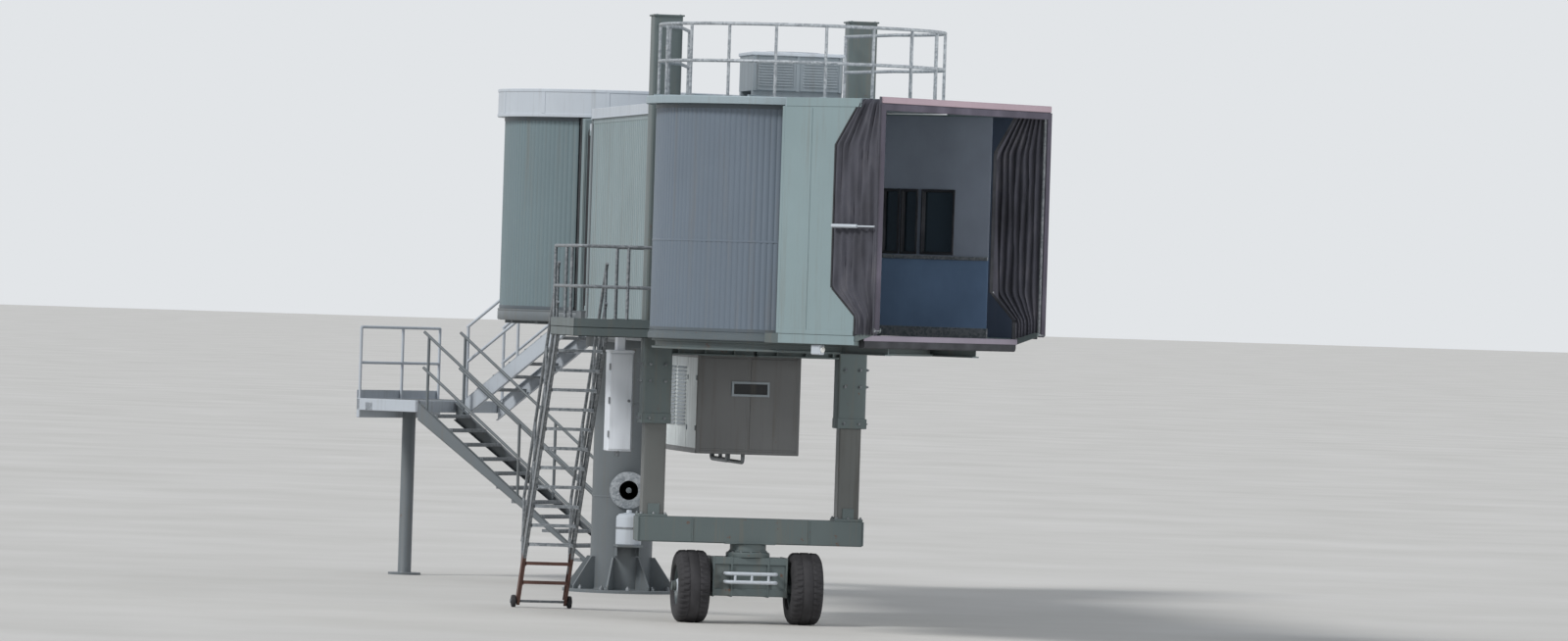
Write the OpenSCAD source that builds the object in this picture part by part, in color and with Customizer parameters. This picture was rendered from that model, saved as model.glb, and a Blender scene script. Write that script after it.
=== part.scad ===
// Apron-drive jet bridge: a round room on a column, two telescoping tunnels, a lifting bogie,
// a turning cab with a folding canopy, a rolling service stair and a fixed egress stair.
// Millimetres. Origin on the ground under the centre of the round room, +X along the tunnels
// towards the cab, +Y to the aircraft side, +Z up.

/* [Rotunda] */
// Height of the rotunda's walking floor above the ground
floor_z = 3630; // [3400:10:3800]
// Radius of the rotunda's floor disc
rotunda_r = 1700; // [1650:10:1900]
// Depth of the rotunda, corridor and sill floor pans
pan_t = 150; // [120:5:180]
// Clear height inside the rotunda
rotunda_h = 2470; // [2440:10:2600]
// Thickness of the rotunda's roof plate
roof_t = 100; // [60:5:140]
// How far the rotunda's roof reaches past its floor
roof_lip = 80; // [40:5:120]
// Height of the white fascia above the rotunda's roof plate
fascia_h = 260; // [150:10:320]
// Thickness of the fascia and of the corridor's walls
wall_t = 60; // [40:5:80]
// Radius of the column
column_r = 400; // [350:10:450]
// Radius of the column's base plate
base_r = 750; // [680:10:850]
// Thickness of the base plate and the head flange
plate_t = 40; // [30:5:60]
// Number of anchor bolt holes
bolt_count = 12; // [8:1:16]
// Radius of an anchor bolt hole
bolt_r = 19; // [12:1:24]
// Radius of the anchor bolt circle
bolt_circle_r = 660; // [600:10:680]

/* [Corridor] */
// Turn of the fixed corridor from the tunnels' axis
corridor_angle = 138; // [130:1:146]
// Half the corridor's clear width
corridor_y = 900; // [850:10:950]
// Distance from the rotunda's centre to the cut at the terminal wall
corridor_end = 3900; // [3700:10:4300]
// Near edge of the egress doorway, from the rotunda's centre
egress_x = 2250; // [2150:10:2350]
// Width of the egress doorway and of the service doorway
door_w = 900; // [800:10:940]
// Height of the doorways
door_h = 2100; // [2000:10:2150]
// Thickness of a door leaf
door_t = 44; // [36:1:50]

/* [Swing frame] */
// Half the clear width between the throat's side walls
throat_y = 820; // [780:10:840]
// Front of the sill and of the throat's walls
sill_x = 1920; // [1900:5:1940]
// Thickness of the throat's walls
throat_t = 80; // [60:5:90]
// Height of the collar that turns on the column
collar_h = 250; // [180:10:300]
// Wall of the collar
collar_t = 140; // [100:5:170]
// Distance of each arm's middle from the axis
arm_y = 360; // [330:5:380]
// Width and depth of an arm
arm_w = 120; // [90:5:140]

/* [Tunnels] */
// Position of the pitch hinge along the tunnels
hinge_x = 1960; // [1955:1:1965]
// Radius of the pitch hinge's pin
hinge_r = 25; // [20:1:28]
// Half the outer width of the inner tunnel
inner_y = 860; // [840:5:880]
// Thickness of the inner tunnel's walls
inner_t = 50; // [40:5:60]
// Depth of the inner tunnel's floor
inner_floor_t = 90; // [70:5:100]
// Clear height inside the inner tunnel
inner_h = 2300; // [2250:10:2320]
// Thickness of the inner tunnel's roof
inner_roof_t = 70; // [50:5:90]
// Start of the inner tunnel's walls
inner_x0 = 2060; // [2050:5:2080]
// End of the inner tunnel inside the outer one
inner_x1 = 10300; // [9800:50:10350]
// Length of the ramp at the inner tunnel's end
ramp_l = 650; // [500:10:700]
// Room between the two tunnels
slide_gap = 80; // [70:5:95]
// Thickness of the outer tunnel's walls
outer_t = 60; // [50:5:70]
// Depth of the outer tunnel's floor
outer_floor_t = 100; // [90:5:120]
// Thickness of the outer tunnel's roof
outer_roof_t = 90; // [70:5:110]
// Start of the outer tunnel
outer_x0 = 3300; // [3200:50:3600]
// Depth of a stiffening rib on the tunnels' sides
rib_d = 22; // [15:1:28]
// Width of a stiffening rib
rib_w = 50; // [40:5:70]
// Distance between ribs
rib_pitch = 600; // [400:25:800]

/* [Cab] */
// Distance from the rotunda's centre to the cab's turning axis
bubble_x = 13000; // [12800:50:13300]
// Radius of the round floor that the cab turns on
bubble_r = 1690; // [1650:5:1720]
// Turn of the cab from the tunnels' axis
cab_angle = 42; // [30:1:45]
// Distance from the cab's axis to the inner face of its side walls
cab_y = 1450; // [1420:5:1480]
// Thickness of the cab's side walls
cab_t = 60; // [45:5:70]
// Back edge of the cab's plain wall
cab_back = 980; // [960:5:1000]
// Back edge of the cab's window wall
window_wall_back = 50; // [20:5:120]
// Front edge of the side walls at mid height
cab_mid = 1730; // [1690:5:1760]
// Front edge of the side walls at floor and roof
cab_front = 2080; // [2050:5:2120]
// How far the cab's floor is above, and its roof below, the round room's
cab_step = 10; // [8:1:15]
// Depth of the rubber bumper on the floor's front edge
bumper_d = 80; // [60:5:100]
// Height of the cab's window sills above its floor
window_sill = 990; // [900:10:1100]
// Height of the cab's windows
window_h = 700; // [600:10:800]

/* [Canopy] */
// Distance of the canopy's hoop from the cab's turning axis
hoop_x = 2400; // [2370:5:2450]
// Width of the hoop's bar along the cab
hoop_t = 50; // [40:5:60]
// Half the outer width of the hoop
hoop_y = 1600; // [1580:5:1620]
// Height of the hoop's top above the cab's roof
hoop_rise = 30; // [10:5:60]
// Radius of the pins that the hoop turns on
hoop_pin_r = 15; // [12:1:18]
// Height of the hoop's pins above the cab's floor
hoop_pin_rise = 70; // [60:5:80]

/* [Lift and bogie] */
// Distance of the lift columns behind the cab's turning axis
lift_back = 2800; // [2770:10:2850]
// Outer width of a lift column's outer tube
lift_w = 340; // [300:10:360]
// Wall of the outer tube
lift_wall = 20; // [14:1:24]
// Height of the outer tubes' tops
lift_top = 7200; // [7000:10:7400]
// Height of the outer tubes' bottoms
lift_bottom = 2350; // [2300:10:2450]
// Width of the inner legs
leg_w = 260; // [230:5:270]
// Height of the top of the cross beam between the legs
beam_top = 1250; // [1200:10:1270]
// Depth of the cross beam
beam_h = 300; // [250:10:330]
// Radius of the bogie's wheels
wheel_r = 430; // [400:5:440]
// Width of a wheel
wheel_w = 380; // [340:5:400]
// Distance of a wheel's middle from the bogie's axis
wheel_y = 680; // [660:5:700]
// Radius of the wheel axle
axle_r = 60; // [50:1:70]
// Radius of a drive motor on the bogie
motor_r = 85; // [70:5:100]
// Reach of the tow bar in front of the bogie's box
tow_reach = 120; // [90:5:150]
// Thickness of a lift column's cap and of its foot flange
cap_t = 40; // [25:5:60]
// How far the caps and flanges stand out from the tube
cap_lip = 15; // [8:1:20]

/* [Service landing and stair] */
// Distance from the lift columns back to the landing's edge, where the stair hangs
landing_back = 700; // [650:10:750]
// Length of the landing
landing_l = 1950; // [1900:10:1980]
// Outer edge of the landing from the tunnels' axis
landing_y = 2350; // [2300:10:2400]
// Depth of the landing's frame
landing_t = 110; // [90:5:120]
// Distance of the stair's middle from the tunnels' axis
stair_y = 1950; // [1930:5:1970]
// Width between the outsides of the stair's stringers
stair_w = 620; // [600:10:660]
// Slope of the service stair
stair_slope = 50; // [48:1:54]
// Number of treads on the service stair
stair_treads = 13; // [11:1:15]
// Depth of a tread on the service stair
tread_d = 200; // [180:5:230]
// Radius of the bore for the stair's foot axle
foot_axle_r = 16; // [12:1:18]
// Radius of the stair's foot wheels
foot_r = 75; // [70:1:85]
// Height of the handrails
rail_h = 950; // [900:10:1050]
// Height of the guard rail on the roof
guard_h = 850; // [700:10:1000]
// Angle from the cab's middle to where the guard rail's round part ends
rail_angle = 130; // [110:1:140]
// Radius of handrail tubes
tube_r = 20; // [16:1:24]
// Height of the kick plates round the landing
kick_h = 100; // [80:5:120]

/* [Hung and roof equipment] */
// Length of the air unit under the outer tunnel
air_l = 3200; // [2800:50:3400]
// Half the width of the air unit
air_y = 620; // [580:10:650]
// Bottom of the air unit
air_z0 = 2000; // [1980:10:2100]
// Top of the air unit
air_z1 = 3200; // [3100:10:3240]
// Width of the flanges along the air unit's edges
air_rim = 40; // [30:5:60]
// Number of panels along each side of the air unit
air_panels = 4; // [3:1:5]
// Width of the outlet slot in the air unit's front
slot_w = 400; // [300:10:500]
// Height of the outlet slot
slot_h = 120; // [80:5:160]
// Length of the roof unit along the tunnels
unit_l = 1000; // [900:10:1100]
// Width of the roof unit
unit_w = 1050; // [950:10:1150]
// Height of the roof unit's casing
unit_h = 450; // [400:10:500]
// Height of the skids under the roof unit
skid_h = 90; // [60:5:120]
// Distance between the louvres' blades
louvre_pitch = 48; // [40:2:60]
// Height of the power cabinet
cabinet_h = 1200; // [1000:10:1300]
// Width and depth of the power cabinet
cabinet_w = 320; // [280:10:340]
// Width of the roof ladder between its stiles' middles
ladder_w = 400; // [360:10:450]
// Distance between the ladder's rungs
rung_pitch = 300; // [250:10:320]
// Distance of the ladder from the tunnel's side
ladder_off = 180; // [150:10:220]
// Radius of the ladder's rungs and ties
rung_r = 14; // [11:1:16]
// Radius of the hose reel on the column
reel_r = 240; // [200:5:260]
// Radius of the hose on the reel
hose_r = 17; // [14:1:20]
// Radius of the reel's axle
reel_axle_r = 20; // [16:1:24]
// Height of the reel's axle above the ground
reel_z = 1330; // [1250:10:1400]
// Radius of the canister under the reel
canister_r = 165; // [140:5:190]
// Height of the canister
canister_h = 420; // [380:10:480]

/* [Egress stair] */
// Number of risers from the rotunda's floor to the ground
riser_count = 20; // [19:1:22]
// Risers in the upper flight
upper_risers = 7; // [6:1:8]
// Depth of a tread
going = 250; // [230:5:270]
// Width of a flight
flight_w = 900; // [850:10:950]
// Length of the egress stair's top landing
landing_end = 1400; // [1300:10:1500]
// Length of the landing between the flights
mid_l = 1000; // [950:10:1100]
// Room between the two flights
flight_gap = 100; // [80:5:140]
// Depth of a stringer
stringer_h = 240; // [200:5:280]
// Thickness of a stringer
stringer_t = 50; // [40:5:60]
// Depth of the landings' plates
deck_t = 60; // [50:5:80]

/* [Fits] */
// Running clearance at bearings and slide pads
seat = 0.3; // [0.2:0.1:0.8]
// Clearance between parts that pass each other
clear = 10; // [6:1:14]

/* [Hidden] */
$fn = 180;
pan_z = floor_z - pan_t;
ceiling_z = floor_z + rotunda_h;
rotunda_roof_r = rotunda_r + roof_lip;
collar_z = pan_z - plate_t - 2 * clear - collar_h;
collar_r = column_r + collar_t;
arm_x0 = sqrt(pow(collar_r, 2) - pow(arm_y + arm_w / 2, 2)) - 10;
throat_x0 = sqrt(pow(rotunda_r + clear, 2) - pow(throat_y, 2));
throat_top = ceiling_z - 60;
hinge_z = floor_z - 75;
inner_z = floor_z - inner_floor_t;
inner_roof_z = floor_z + inner_h;
inner_top = inner_roof_z + inner_roof_t;
slide_drop = 70;
outer_y = inner_y + slide_gap + outer_t;
outer_z = inner_z - slide_drop;
outer_base = outer_z - outer_floor_t;
outer_roof_z = inner_top + slide_gap;
outer_top = outer_roof_z + outer_roof_t;
post_w = 80;
tunnel_x1 = bubble_x - sqrt(pow(bubble_r, 2) - pow(outer_y, 2)) - 80;
bubble_roof_r = bubble_r + 100;
cab_z = outer_z + cab_step;
cab_roof_z = outer_roof_z - cab_step;
cab_top = cab_roof_z + outer_roof_t;
hoop_pin_z = cab_z + hoop_pin_rise;
curtain_t = 24;
cab_curtain_r = bubble_r - 30;
rotunda_curtain_r = rotunda_r - 30;
lift_x = bubble_x - lift_back;
lift_y = outer_y + lift_w / 2;
leg_top = 5400;
boss_h = 100;
landing_z = outer_z;
landing_x0 = lift_x - landing_back;
landing_x1 = landing_x0 + landing_l;
door_x0 = landing_x0 + 950;
stair_hinge_x = landing_x0 - 110;
stair_hinge_z = landing_z - 60;
stair_drop = stair_hinge_z - foot_r;
stair_run = stair_drop / tan(stair_slope);
stair_foot_x = stair_hinge_x - stair_run;
canister_z = reel_z - reel_r - canister_h - 40;
riser = floor_z / riser_count;
mid_z = floor_z - upper_risers * riser;
flight_x = egress_x - 50;
landing_end_y = corridor_y + wall_t + landing_end;
mid_y0 = landing_end_y + upper_risers * going;
mid_y1 = mid_y0 + mid_l;
lower_x = flight_x - flight_w - flight_gap;
jamb = asin((throat_y + throat_t) / rotunda_curtain_r);
corridor_jamb = asin((corridor_y + wall_t) / rotunda_curtain_r);
tunnel_jamb = 180 - asin((outer_y + 20) / cab_curtain_r);
// Start and end of each cab window along its wall
windows = [[150, 350], [430, 620], [730, 1160]];

paint = [0.53, 0.60, 0.60];
slat = [0.42, 0.46, 0.51];
white = [0.75, 0.77, 0.79];
steel = [0.40, 0.43, 0.45];
dark = [0.22, 0.23, 0.25];
rubber = [0.10, 0.10, 0.11];

// A box given by its two corners
module box(a, b) {
    translate(a) cube([b[0] - a[0], b[1] - a[1], b[2] - a[2]]);
}

// The same shape on both sides of the axis
module both_sides() {
    children();
    mirror([0, 1, 0]) children();
}

// A straight tube between two points
module rod(a, b, r) {
    d = b - a;
    length = norm(d);
    translate(a)
        rotate([0, acos(d[2] / length), atan2(d[1], d[0])])
            cylinder(r = r, h = length, $fn = 16);
}

// An upright profile given in X and Z, spread over Y from y0 to y1
module upright(points, y0, y1) {
    translate([0, y1, 0])
        rotate([90, 0, 0])
            linear_extrude(y1 - y0) polygon(points);
}

// A door's lever handle on its back plate, on a face that looks along +Y, as proud as out
module lever(out) {
    box([-25, 0, -100], [25, 6, 100]);
    rod([0, 5, 30], [0, out, 30], 10);
    rod([8, out - 10, 30], [-110, out - 10, 30], 10);
}

module at_cab() {
    translate([bubble_x, 0, 0]) rotate([0, 0, cab_angle]) children();
}

module at_corridor() {
    rotate([0, 0, corridor_angle]) children();
}

// A curved slat curtain on a radius, over the angles a0 to a1
module curtain(r, a0, a1, z0, z1) {
    translate([0, 0, z0])
        rotate([0, 0, a0])
            rotate_extrude(angle = a1 - a0)
                translate([r - curtain_t / 2, 0]) square([curtain_t, z1 - z0]);
}

// Rotunda

module rotunda_column() {
    color(steel) difference() {
        union() {
            cylinder(r = base_r, h = plate_t);
            cylinder(r = column_r, h = pan_z);
            translate([0, 0, pan_z - plate_t]) cylinder(r = column_r + 250, h = plate_t);
            box([column_r - 20, -60, reel_z - 60], [column_r + 8, 60, reel_z + 60]);
            translate([column_r - 10, 0, reel_z]) rotate([0, 90, 0])
                cylinder(r = reel_axle_r, h = 4 * hose_r + 50);
            translate([column_r + 4 * hose_r + 32, 0, reel_z]) rotate([0, 90, 0])
                cylinder(r = reel_axle_r + 10, h = 10);
            box([column_r - 20, -canister_r, canister_z - 30],
                [column_r + 2 * canister_r + 30, canister_r, canister_z]);
            for (i = [0:7])
                rotate([0, 0, i * 45 + 22.5])
                    upright([[column_r - 20, plate_t], [base_r - 40, plate_t],
                        [base_r - 40, plate_t + 40], [column_r + 40, plate_t + 420],
                        [column_r - 20, plate_t + 420]], -12, 12);
        }
        for (i = [0:bolt_count - 1])
            rotate([0, 0, i * 360 / bolt_count])
                translate([bolt_circle_r, 0, -1]) cylinder(r = bolt_r, h = plate_t + 2);
    }
}

module rotunda_floor() {
    color(steel) translate([0, 0, pan_z]) cylinder(r = rotunda_r, h = pan_t);
}

module rotunda_roof() {
    color(white) translate([0, 0, ceiling_z]) {
        cylinder(r = rotunda_roof_r, h = roof_t);
        difference() {
            cylinder(r = rotunda_roof_r, h = roof_t + fascia_h);
            translate([0, 0, roof_t]) cylinder(r = rotunda_roof_r - wall_t, h = fascia_h + 1);
        }
    }
}

// Corridor to the terminal, cut off plainly at the wall

module corridor_floor() {
    color(steel) at_corridor() translate([0, 0, pan_z]) linear_extrude(pan_t) difference() {
        translate([0, -corridor_y - wall_t]) square([corridor_end, 2 * (corridor_y + wall_t)]);
        circle(r = rotunda_r + seat);
    }
}

module corridor_wall(sign) {
    y0 = sign > 0 ? corridor_y : -corridor_y - wall_t;
    box([sqrt(pow(rotunda_r, 2) - pow(corridor_y, 2)), y0, floor_z],
        [corridor_end, y0 + wall_t, ceiling_z]);
    for (x = [rotunda_roof_r + 120:300:corridor_end - 60])
        if (sign < 0 || x + 60 < egress_x - 90 || x > egress_x + door_w + 90)
            box([x, sign > 0 ? y0 + wall_t : y0 - rib_d, floor_z],
                [x + 60, sign > 0 ? y0 + wall_t + rib_d : y0, ceiling_z]);
}

module corridor_door_wall() {
    color(slat) at_corridor() difference() {
        corridor_wall(1);
        box([egress_x, corridor_y - 1, floor_z], [egress_x + door_w, corridor_y + wall_t + 40,
            floor_z + door_h]);
    }
}

module corridor_plain_wall() {
    color(slat) at_corridor() corridor_wall(-1);
}

module corridor_roof() {
    color(white) at_corridor() translate([0, 0, ceiling_z])
        linear_extrude(roof_t + fascia_h / 2) difference() {
            translate([0, -corridor_y - wall_t - 40])
                square([corridor_end, 2 * (corridor_y + wall_t + 40)]);
            circle(r = rotunda_roof_r + seat);
        }
}

module egress_door() {
    color(white) at_corridor() {
        box([egress_x, corridor_y, floor_z], [egress_x + door_w, corridor_y + door_t,
            floor_z + door_h]);
        translate([egress_x + door_w - 80, corridor_y + door_t, floor_z + door_h / 2])
            lever(50);
    }
}

// Egress stair: two flights with a landing between

// A flight of open treads between two stringers, falling along +Y from the origin
module flight(risers, width) {
    run = risers * going;
    rise = risers * riser;
    for (x = [0, width - stringer_t])
        translate([x, 0, 0]) rotate([90, 0, 90]) linear_extrude(stringer_t)
            polygon([[0, -20], [0, -20 - stringer_h], [run, -rise - stringer_h],
                [run, -rise - 20]]);
    for (i = [1:risers - 1])
        box([stringer_t, (i - 1) * going + 15, -i * riser - 45],
            [width - stringer_t, i * going + 30, -i * riser]);
}

// Handrail over a flight: a sloping tube on three posts
module flight_rail(x, risers) {
    run = risers * going;
    rise = risers * riser;
    rod([x, 60, rail_h - 0.2 * riser], [x, run - 60, rail_h - rise + 0.2 * riser], tube_r);
    rod([x, 60, rail_h / 2 - 0.2 * riser], [x, run - 60, rail_h / 2 - rise + 0.2 * riser],
        tube_r);
    for (t = [0.04, 0.5, 0.96])
        rod([x, run * t, -rise * t - 60], [x, run * t, rail_h - rise * t], tube_r);
}

module egress_landing() {
    color(white) at_corridor() {
        box([flight_x, corridor_y + wall_t, floor_z - deck_t],
            [flight_x + flight_w + 2 * stringer_t, landing_end_y, floor_z]);
        for (x = [flight_x, flight_x + flight_w + stringer_t])
            box([x, corridor_y + wall_t, floor_z - 20 - stringer_h],
                [x + stringer_t, landing_end_y, floor_z - deck_t]);
        for (x = [flight_x + stringer_t / 2, flight_x + flight_w + 1.5 * stringer_t]) {
            for (h = [rail_h / 2, rail_h])
                rod([x, corridor_y + wall_t + 60, floor_z + h],
                    [x, landing_end_y - 40, floor_z + h], tube_r);
            for (y = [corridor_y + wall_t + 60, (corridor_y + landing_end_y) / 2,
                    landing_end_y - 40])
                rod([x, y, floor_z - 40], [x, y, floor_z + rail_h], tube_r);
        }
    }
}

module egress_mid_landing() {
    color(white) at_corridor() {
        box([lower_x, mid_y0, mid_z - deck_t], [flight_x + flight_w, mid_y1, mid_z]);
        box([lower_x, mid_y1 - stringer_t, mid_z - 20 - stringer_h],
            [flight_x + flight_w, mid_y1, mid_z - deck_t]);
        for (h = [rail_h / 2, rail_h])
            rod([lower_x + 30, mid_y1 - 25, mid_z + h],
                [flight_x + flight_w - 30, mid_y1 - 25, mid_z + h], tube_r);
        for (x = [lower_x + 30, flight_x, flight_x + flight_w - 30])
            rod([x, mid_y1 - 25, mid_z - 40], [x, mid_y1 - 25, mid_z + rail_h], tube_r);
        translate([(lower_x + flight_x + flight_w) / 2, mid_y1 - 200, 0]) {
            cylinder(r = 90, h = mid_z - deck_t);
            cylinder(r = 220, h = 30);
        }
    }
}

module egress_upper_flight() {
    color(white) at_corridor() translate([flight_x, landing_end_y, floor_z]) {
        flight(upper_risers, flight_w);
        flight_rail(25, upper_risers);
        flight_rail(flight_w - 25, upper_risers);
    }
}

module egress_lower_flight() {
    risers = riser_count - upper_risers;
    color(steel) at_corridor()
        translate([lower_x + flight_w, mid_y0, mid_z]) rotate([0, 0, 180]) intersection() {
            union() {
                flight(risers, flight_w);
                flight_rail(25, risers);
                flight_rail(flight_w - 25, risers);
            }
            box([-100, 0, -mid_z], [flight_w + 100, risers * going + 10, 2000]);
        }
}

// Swing frame and throat: turn about the column

module swing_frame() {
    color(steel) {
        difference() {
            translate([0, 0, collar_z]) cylinder(r = collar_r, h = collar_h);
            translate([0, 0, collar_z - 1]) cylinder(r = column_r + seat, h = collar_h + 2);
        }
        both_sides() {
            box([arm_x0, arm_y - arm_w / 2, collar_z + collar_h - 180],
                [sill_x, arm_y + arm_w / 2, collar_z + collar_h]);
            box([rotunda_r + 2 * clear, arm_y - arm_w / 2, collar_z + collar_h],
                [sill_x, arm_y + arm_w / 2, pan_z]);
            difference() {
                box([sill_x, arm_y + 100, hinge_z - 60],
                    [hinge_x + 30, arm_y + 140, hinge_z + 45]);
                translate([hinge_x, 0, hinge_z]) rotate([-90, 0, 0])
                    cylinder(r = hinge_r + seat, h = arm_y + 200);
            }
        }
        translate([0, 0, pan_z]) linear_extrude(pan_t) difference() {
            translate([0, -throat_y - throat_t])
                square([sill_x, 2 * (throat_y + throat_t)]);
            circle(r = rotunda_r + clear);
        }
        box([sill_x - 60, -throat_y + 20, floor_z], [inner_x0 + 10, throat_y - 20, floor_z + 8]);
    }
}

module throat_wall() {
    box([throat_x0, throat_y, floor_z], [sill_x - 20, throat_y + throat_t, throat_top]);
}

module throat_left_wall() {
    color(paint) mirror([0, 1, 0]) throat_wall();
}

module throat_right_wall() {
    color(paint) throat_wall();
}

module throat_roof() {
    color(paint) box([throat_x0, -throat_y - throat_t, throat_top],
        [sill_x - 20, throat_y + throat_t, ceiling_z - 15]);
}

module rotunda_left_curtain() {
    color(slat) curtain(rotunda_curtain_r, corridor_angle + corridor_jamb + 1 - 360,
        -jamb - 1, floor_z + seat, ceiling_z - seat);
}

module rotunda_right_curtain() {
    color(slat) curtain(rotunda_curtain_r, jamb + 1, corridor_angle - corridor_jamb - 1,
        floor_z + seat, ceiling_z - seat);
}

// Inner tunnel

module hinge_bellows() {
    color(rubber) {
        both_sides() box([sill_x - 20 + seat, throat_y, floor_z + 12],
            [inner_x0 - seat, throat_y + 40, inner_roof_z]);
        box([sill_x - 20 + seat, -throat_y - 40, inner_roof_z],
            [inner_x0 - seat, throat_y + 40, inner_roof_z + 60]);
    }
}

module inner_tunnel_floor() {
    color(steel) difference() {
        union() {
            upright([[hinge_x + 40, inner_z], [inner_x1, inner_z],
                [inner_x1 + ramp_l, outer_z + 8], [inner_x1 + ramp_l, outer_z + 16],
                [inner_x1, floor_z], [inner_x0 + 30, floor_z], [inner_x0 + 30, floor_z - 15],
                [hinge_x + 40, floor_z - 15]], -inner_y, inner_y);
            both_sides() box([hinge_x - 30, arm_y + 145, hinge_z - 45],
                [hinge_x + 45, arm_y + 185, floor_z - 30]);
            translate([hinge_x, -arm_y - 190, hinge_z]) rotate([-90, 0, 0])
                cylinder(r = hinge_r, h = 2 * arm_y + 380);
        }
        both_sides() box([inner_x1, throat_y - 20, inner_z - 10],
            [inner_x1 + ramp_l + 10, inner_y + 10, floor_z + 10]);
    }
}

// A tunnel side wall on the +Y side with ribs on its outer face
module tunnel_wall(x0, x1, y0, t, z0, z1, ribs) {
    box([x0, y0, z0], [x1, y0 + t, z1]);
    if (ribs)
        for (x = [x0 + rib_pitch / 2:rib_pitch:x1 - 60])
            box([x, y0 + t, z0 + 80], [x + rib_w, y0 + t + rib_d, z1 - 80]);
}

module inner_wall() {
    tunnel_wall(inner_x0, inner_x1, inner_y - inner_t, inner_t, floor_z, inner_roof_z, true);
}

module inner_left_wall() {
    color(paint) mirror([0, 1, 0]) inner_wall();
}

module inner_right_wall() {
    color(paint) inner_wall();
}

module inner_tunnel_roof() {
    color(white) {
        box([inner_x0, -inner_y, inner_roof_z], [inner_x1, inner_y, inner_top]);
        both_sides() box([inner_x1 - 250, 520, inner_top],
            [inner_x1 - 50, 640, outer_roof_z - seat]);
    }
}

// Outer tunnel

module outer_tunnel_floor() {
    color(steel) {
        translate([0, 0, outer_base]) linear_extrude(outer_floor_t) difference() {
            translate([outer_x0, -outer_y]) square([bubble_x - outer_x0, 2 * outer_y]);
            translate([bubble_x, 0]) circle(r = bubble_r + seat);
        }
        both_sides() box([outer_x0 + 20, 640, outer_z], [outer_x0 + 220, 760, inner_z - seat]);
    }
}

// The outer tunnel's side wall: ribbed up to the lift, plain beside the landing, with the post
// that the cab's curtain starts from
module outer_wall() {
    tunnel_wall(outer_x0, lift_x - 300, outer_y - outer_t, outer_t, outer_z, outer_roof_z, true);
    box([lift_x - 300, outer_y - outer_t, outer_z], [tunnel_x1, outer_y, outer_roof_z]);
    box([tunnel_x1, outer_y - post_w, outer_z], [tunnel_x1 + post_w, outer_y + 20, outer_roof_z]);
}

module outer_left_wall() {
    color(paint) mirror([0, 1, 0]) difference() {
        outer_wall();
        box([door_x0, outer_y - outer_t - 1, outer_z + 20],
            [door_x0 + door_w, outer_y + 1, outer_z + 20 + door_h]);
    }
}

module outer_right_wall() {
    color(paint) outer_wall();
}

module outer_tunnel_roof() {
    color(white) translate([0, 0, outer_roof_z]) linear_extrude(outer_roof_t) difference() {
        translate([outer_x0, -outer_y - 20]) square([bubble_x - outer_x0, 2 * outer_y + 40]);
        translate([bubble_x, 0]) circle(r = bubble_roof_r + seat);
        both_sides() translate([lift_x - lift_w / 2, outer_y]) square([lift_w, 30]);
    }
}

module service_door() {
    color(paint) difference() {
        box([door_x0, -outer_y + 8, outer_z + 20],
            [door_x0 + door_w, -outer_y + 8 + door_t, outer_z + 20 + door_h]);
        box([door_x0 + 550, -outer_y, outer_z + 1150],
            [door_x0 + 800, -outer_y + 60, outer_z + 1750]);
    }
    color(paint) translate([door_x0 + 60, -outer_y + 8, outer_z + door_h / 2])
        rotate([0, 0, 180]) lever(50);
}

module service_door_glass() {
    color([0.12, 0.15, 0.18]) box([door_x0 + 550, -outer_y + 22, outer_z + 1150],
        [door_x0 + 800, -outer_y + 34, outer_z + 1750]);
}

module bubble_floor() {
    color(white) translate([bubble_x, 0, outer_base]) cylinder(r = bubble_r, h = outer_floor_t);
}

module bubble_roof() {
    color(white) translate([bubble_x, 0, outer_roof_z])
        cylinder(r = bubble_roof_r, h = outer_roof_t);
}

// Outer tube of a lift column, its head and its bracket on the tunnel's underside
module lift_column() {
    color(steel) difference() {
        union() {
            box([lift_x - lift_w / 2, outer_y, lift_bottom],
                [lift_x + lift_w / 2, outer_y + lift_w, lift_top]);
            box([lift_x - lift_w / 2, 100, outer_base - 200],
                [lift_x + lift_w / 2, outer_y, outer_base]);
            for (z = [lift_bottom, lift_top - cap_t])
                box([lift_x - lift_w / 2 - cap_lip, outer_y - cap_lip, z],
                    [lift_x + lift_w / 2 + cap_lip, outer_y + lift_w + cap_lip, z + cap_t]);
        }
        box([lift_x - lift_w / 2 + lift_wall, outer_y + lift_wall, lift_bottom - 1],
            [lift_x + lift_w / 2 - lift_wall, outer_y + lift_w - lift_wall, lift_top - cap_t]);
    }
}

module lift_left_column() {
    mirror([0, 1, 0]) lift_column();
}

module lift_right_column() {
    lift_column();
}

module roof_ladder() {
    x0 = landing_x0 + tube_r;
    y = -outer_y - ladder_off;
    foot = outer_z + 6 * rung_pitch;
    head = outer_top + guard_h + 5 * tube_r;
    color(steel) {
        for (x = [x0, x0 + ladder_w]) {
            rod([x, y, foot], [x, y, head], tube_r);
            for (z = [foot + rung_pitch / 2, outer_roof_z - 6 * tube_r])
                rod([x, y, z], [x, -outer_y, z], rung_r);
        }
        for (z = [foot + rung_pitch / 3:rung_pitch:head])
            rod([x0, y, z], [x0 + ladder_w, y, z], rung_r);
    }
}

// A square bar between two points at one height, w wide and high, with its middle on the points
module level_bar(a, b, w) {
    d = b - a;
    translate(a) rotate([0, 0, atan2(d[1], d[0])]) translate([0, -w / 2, -w / 2])
        cube([norm(d), w, w]);
}

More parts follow.
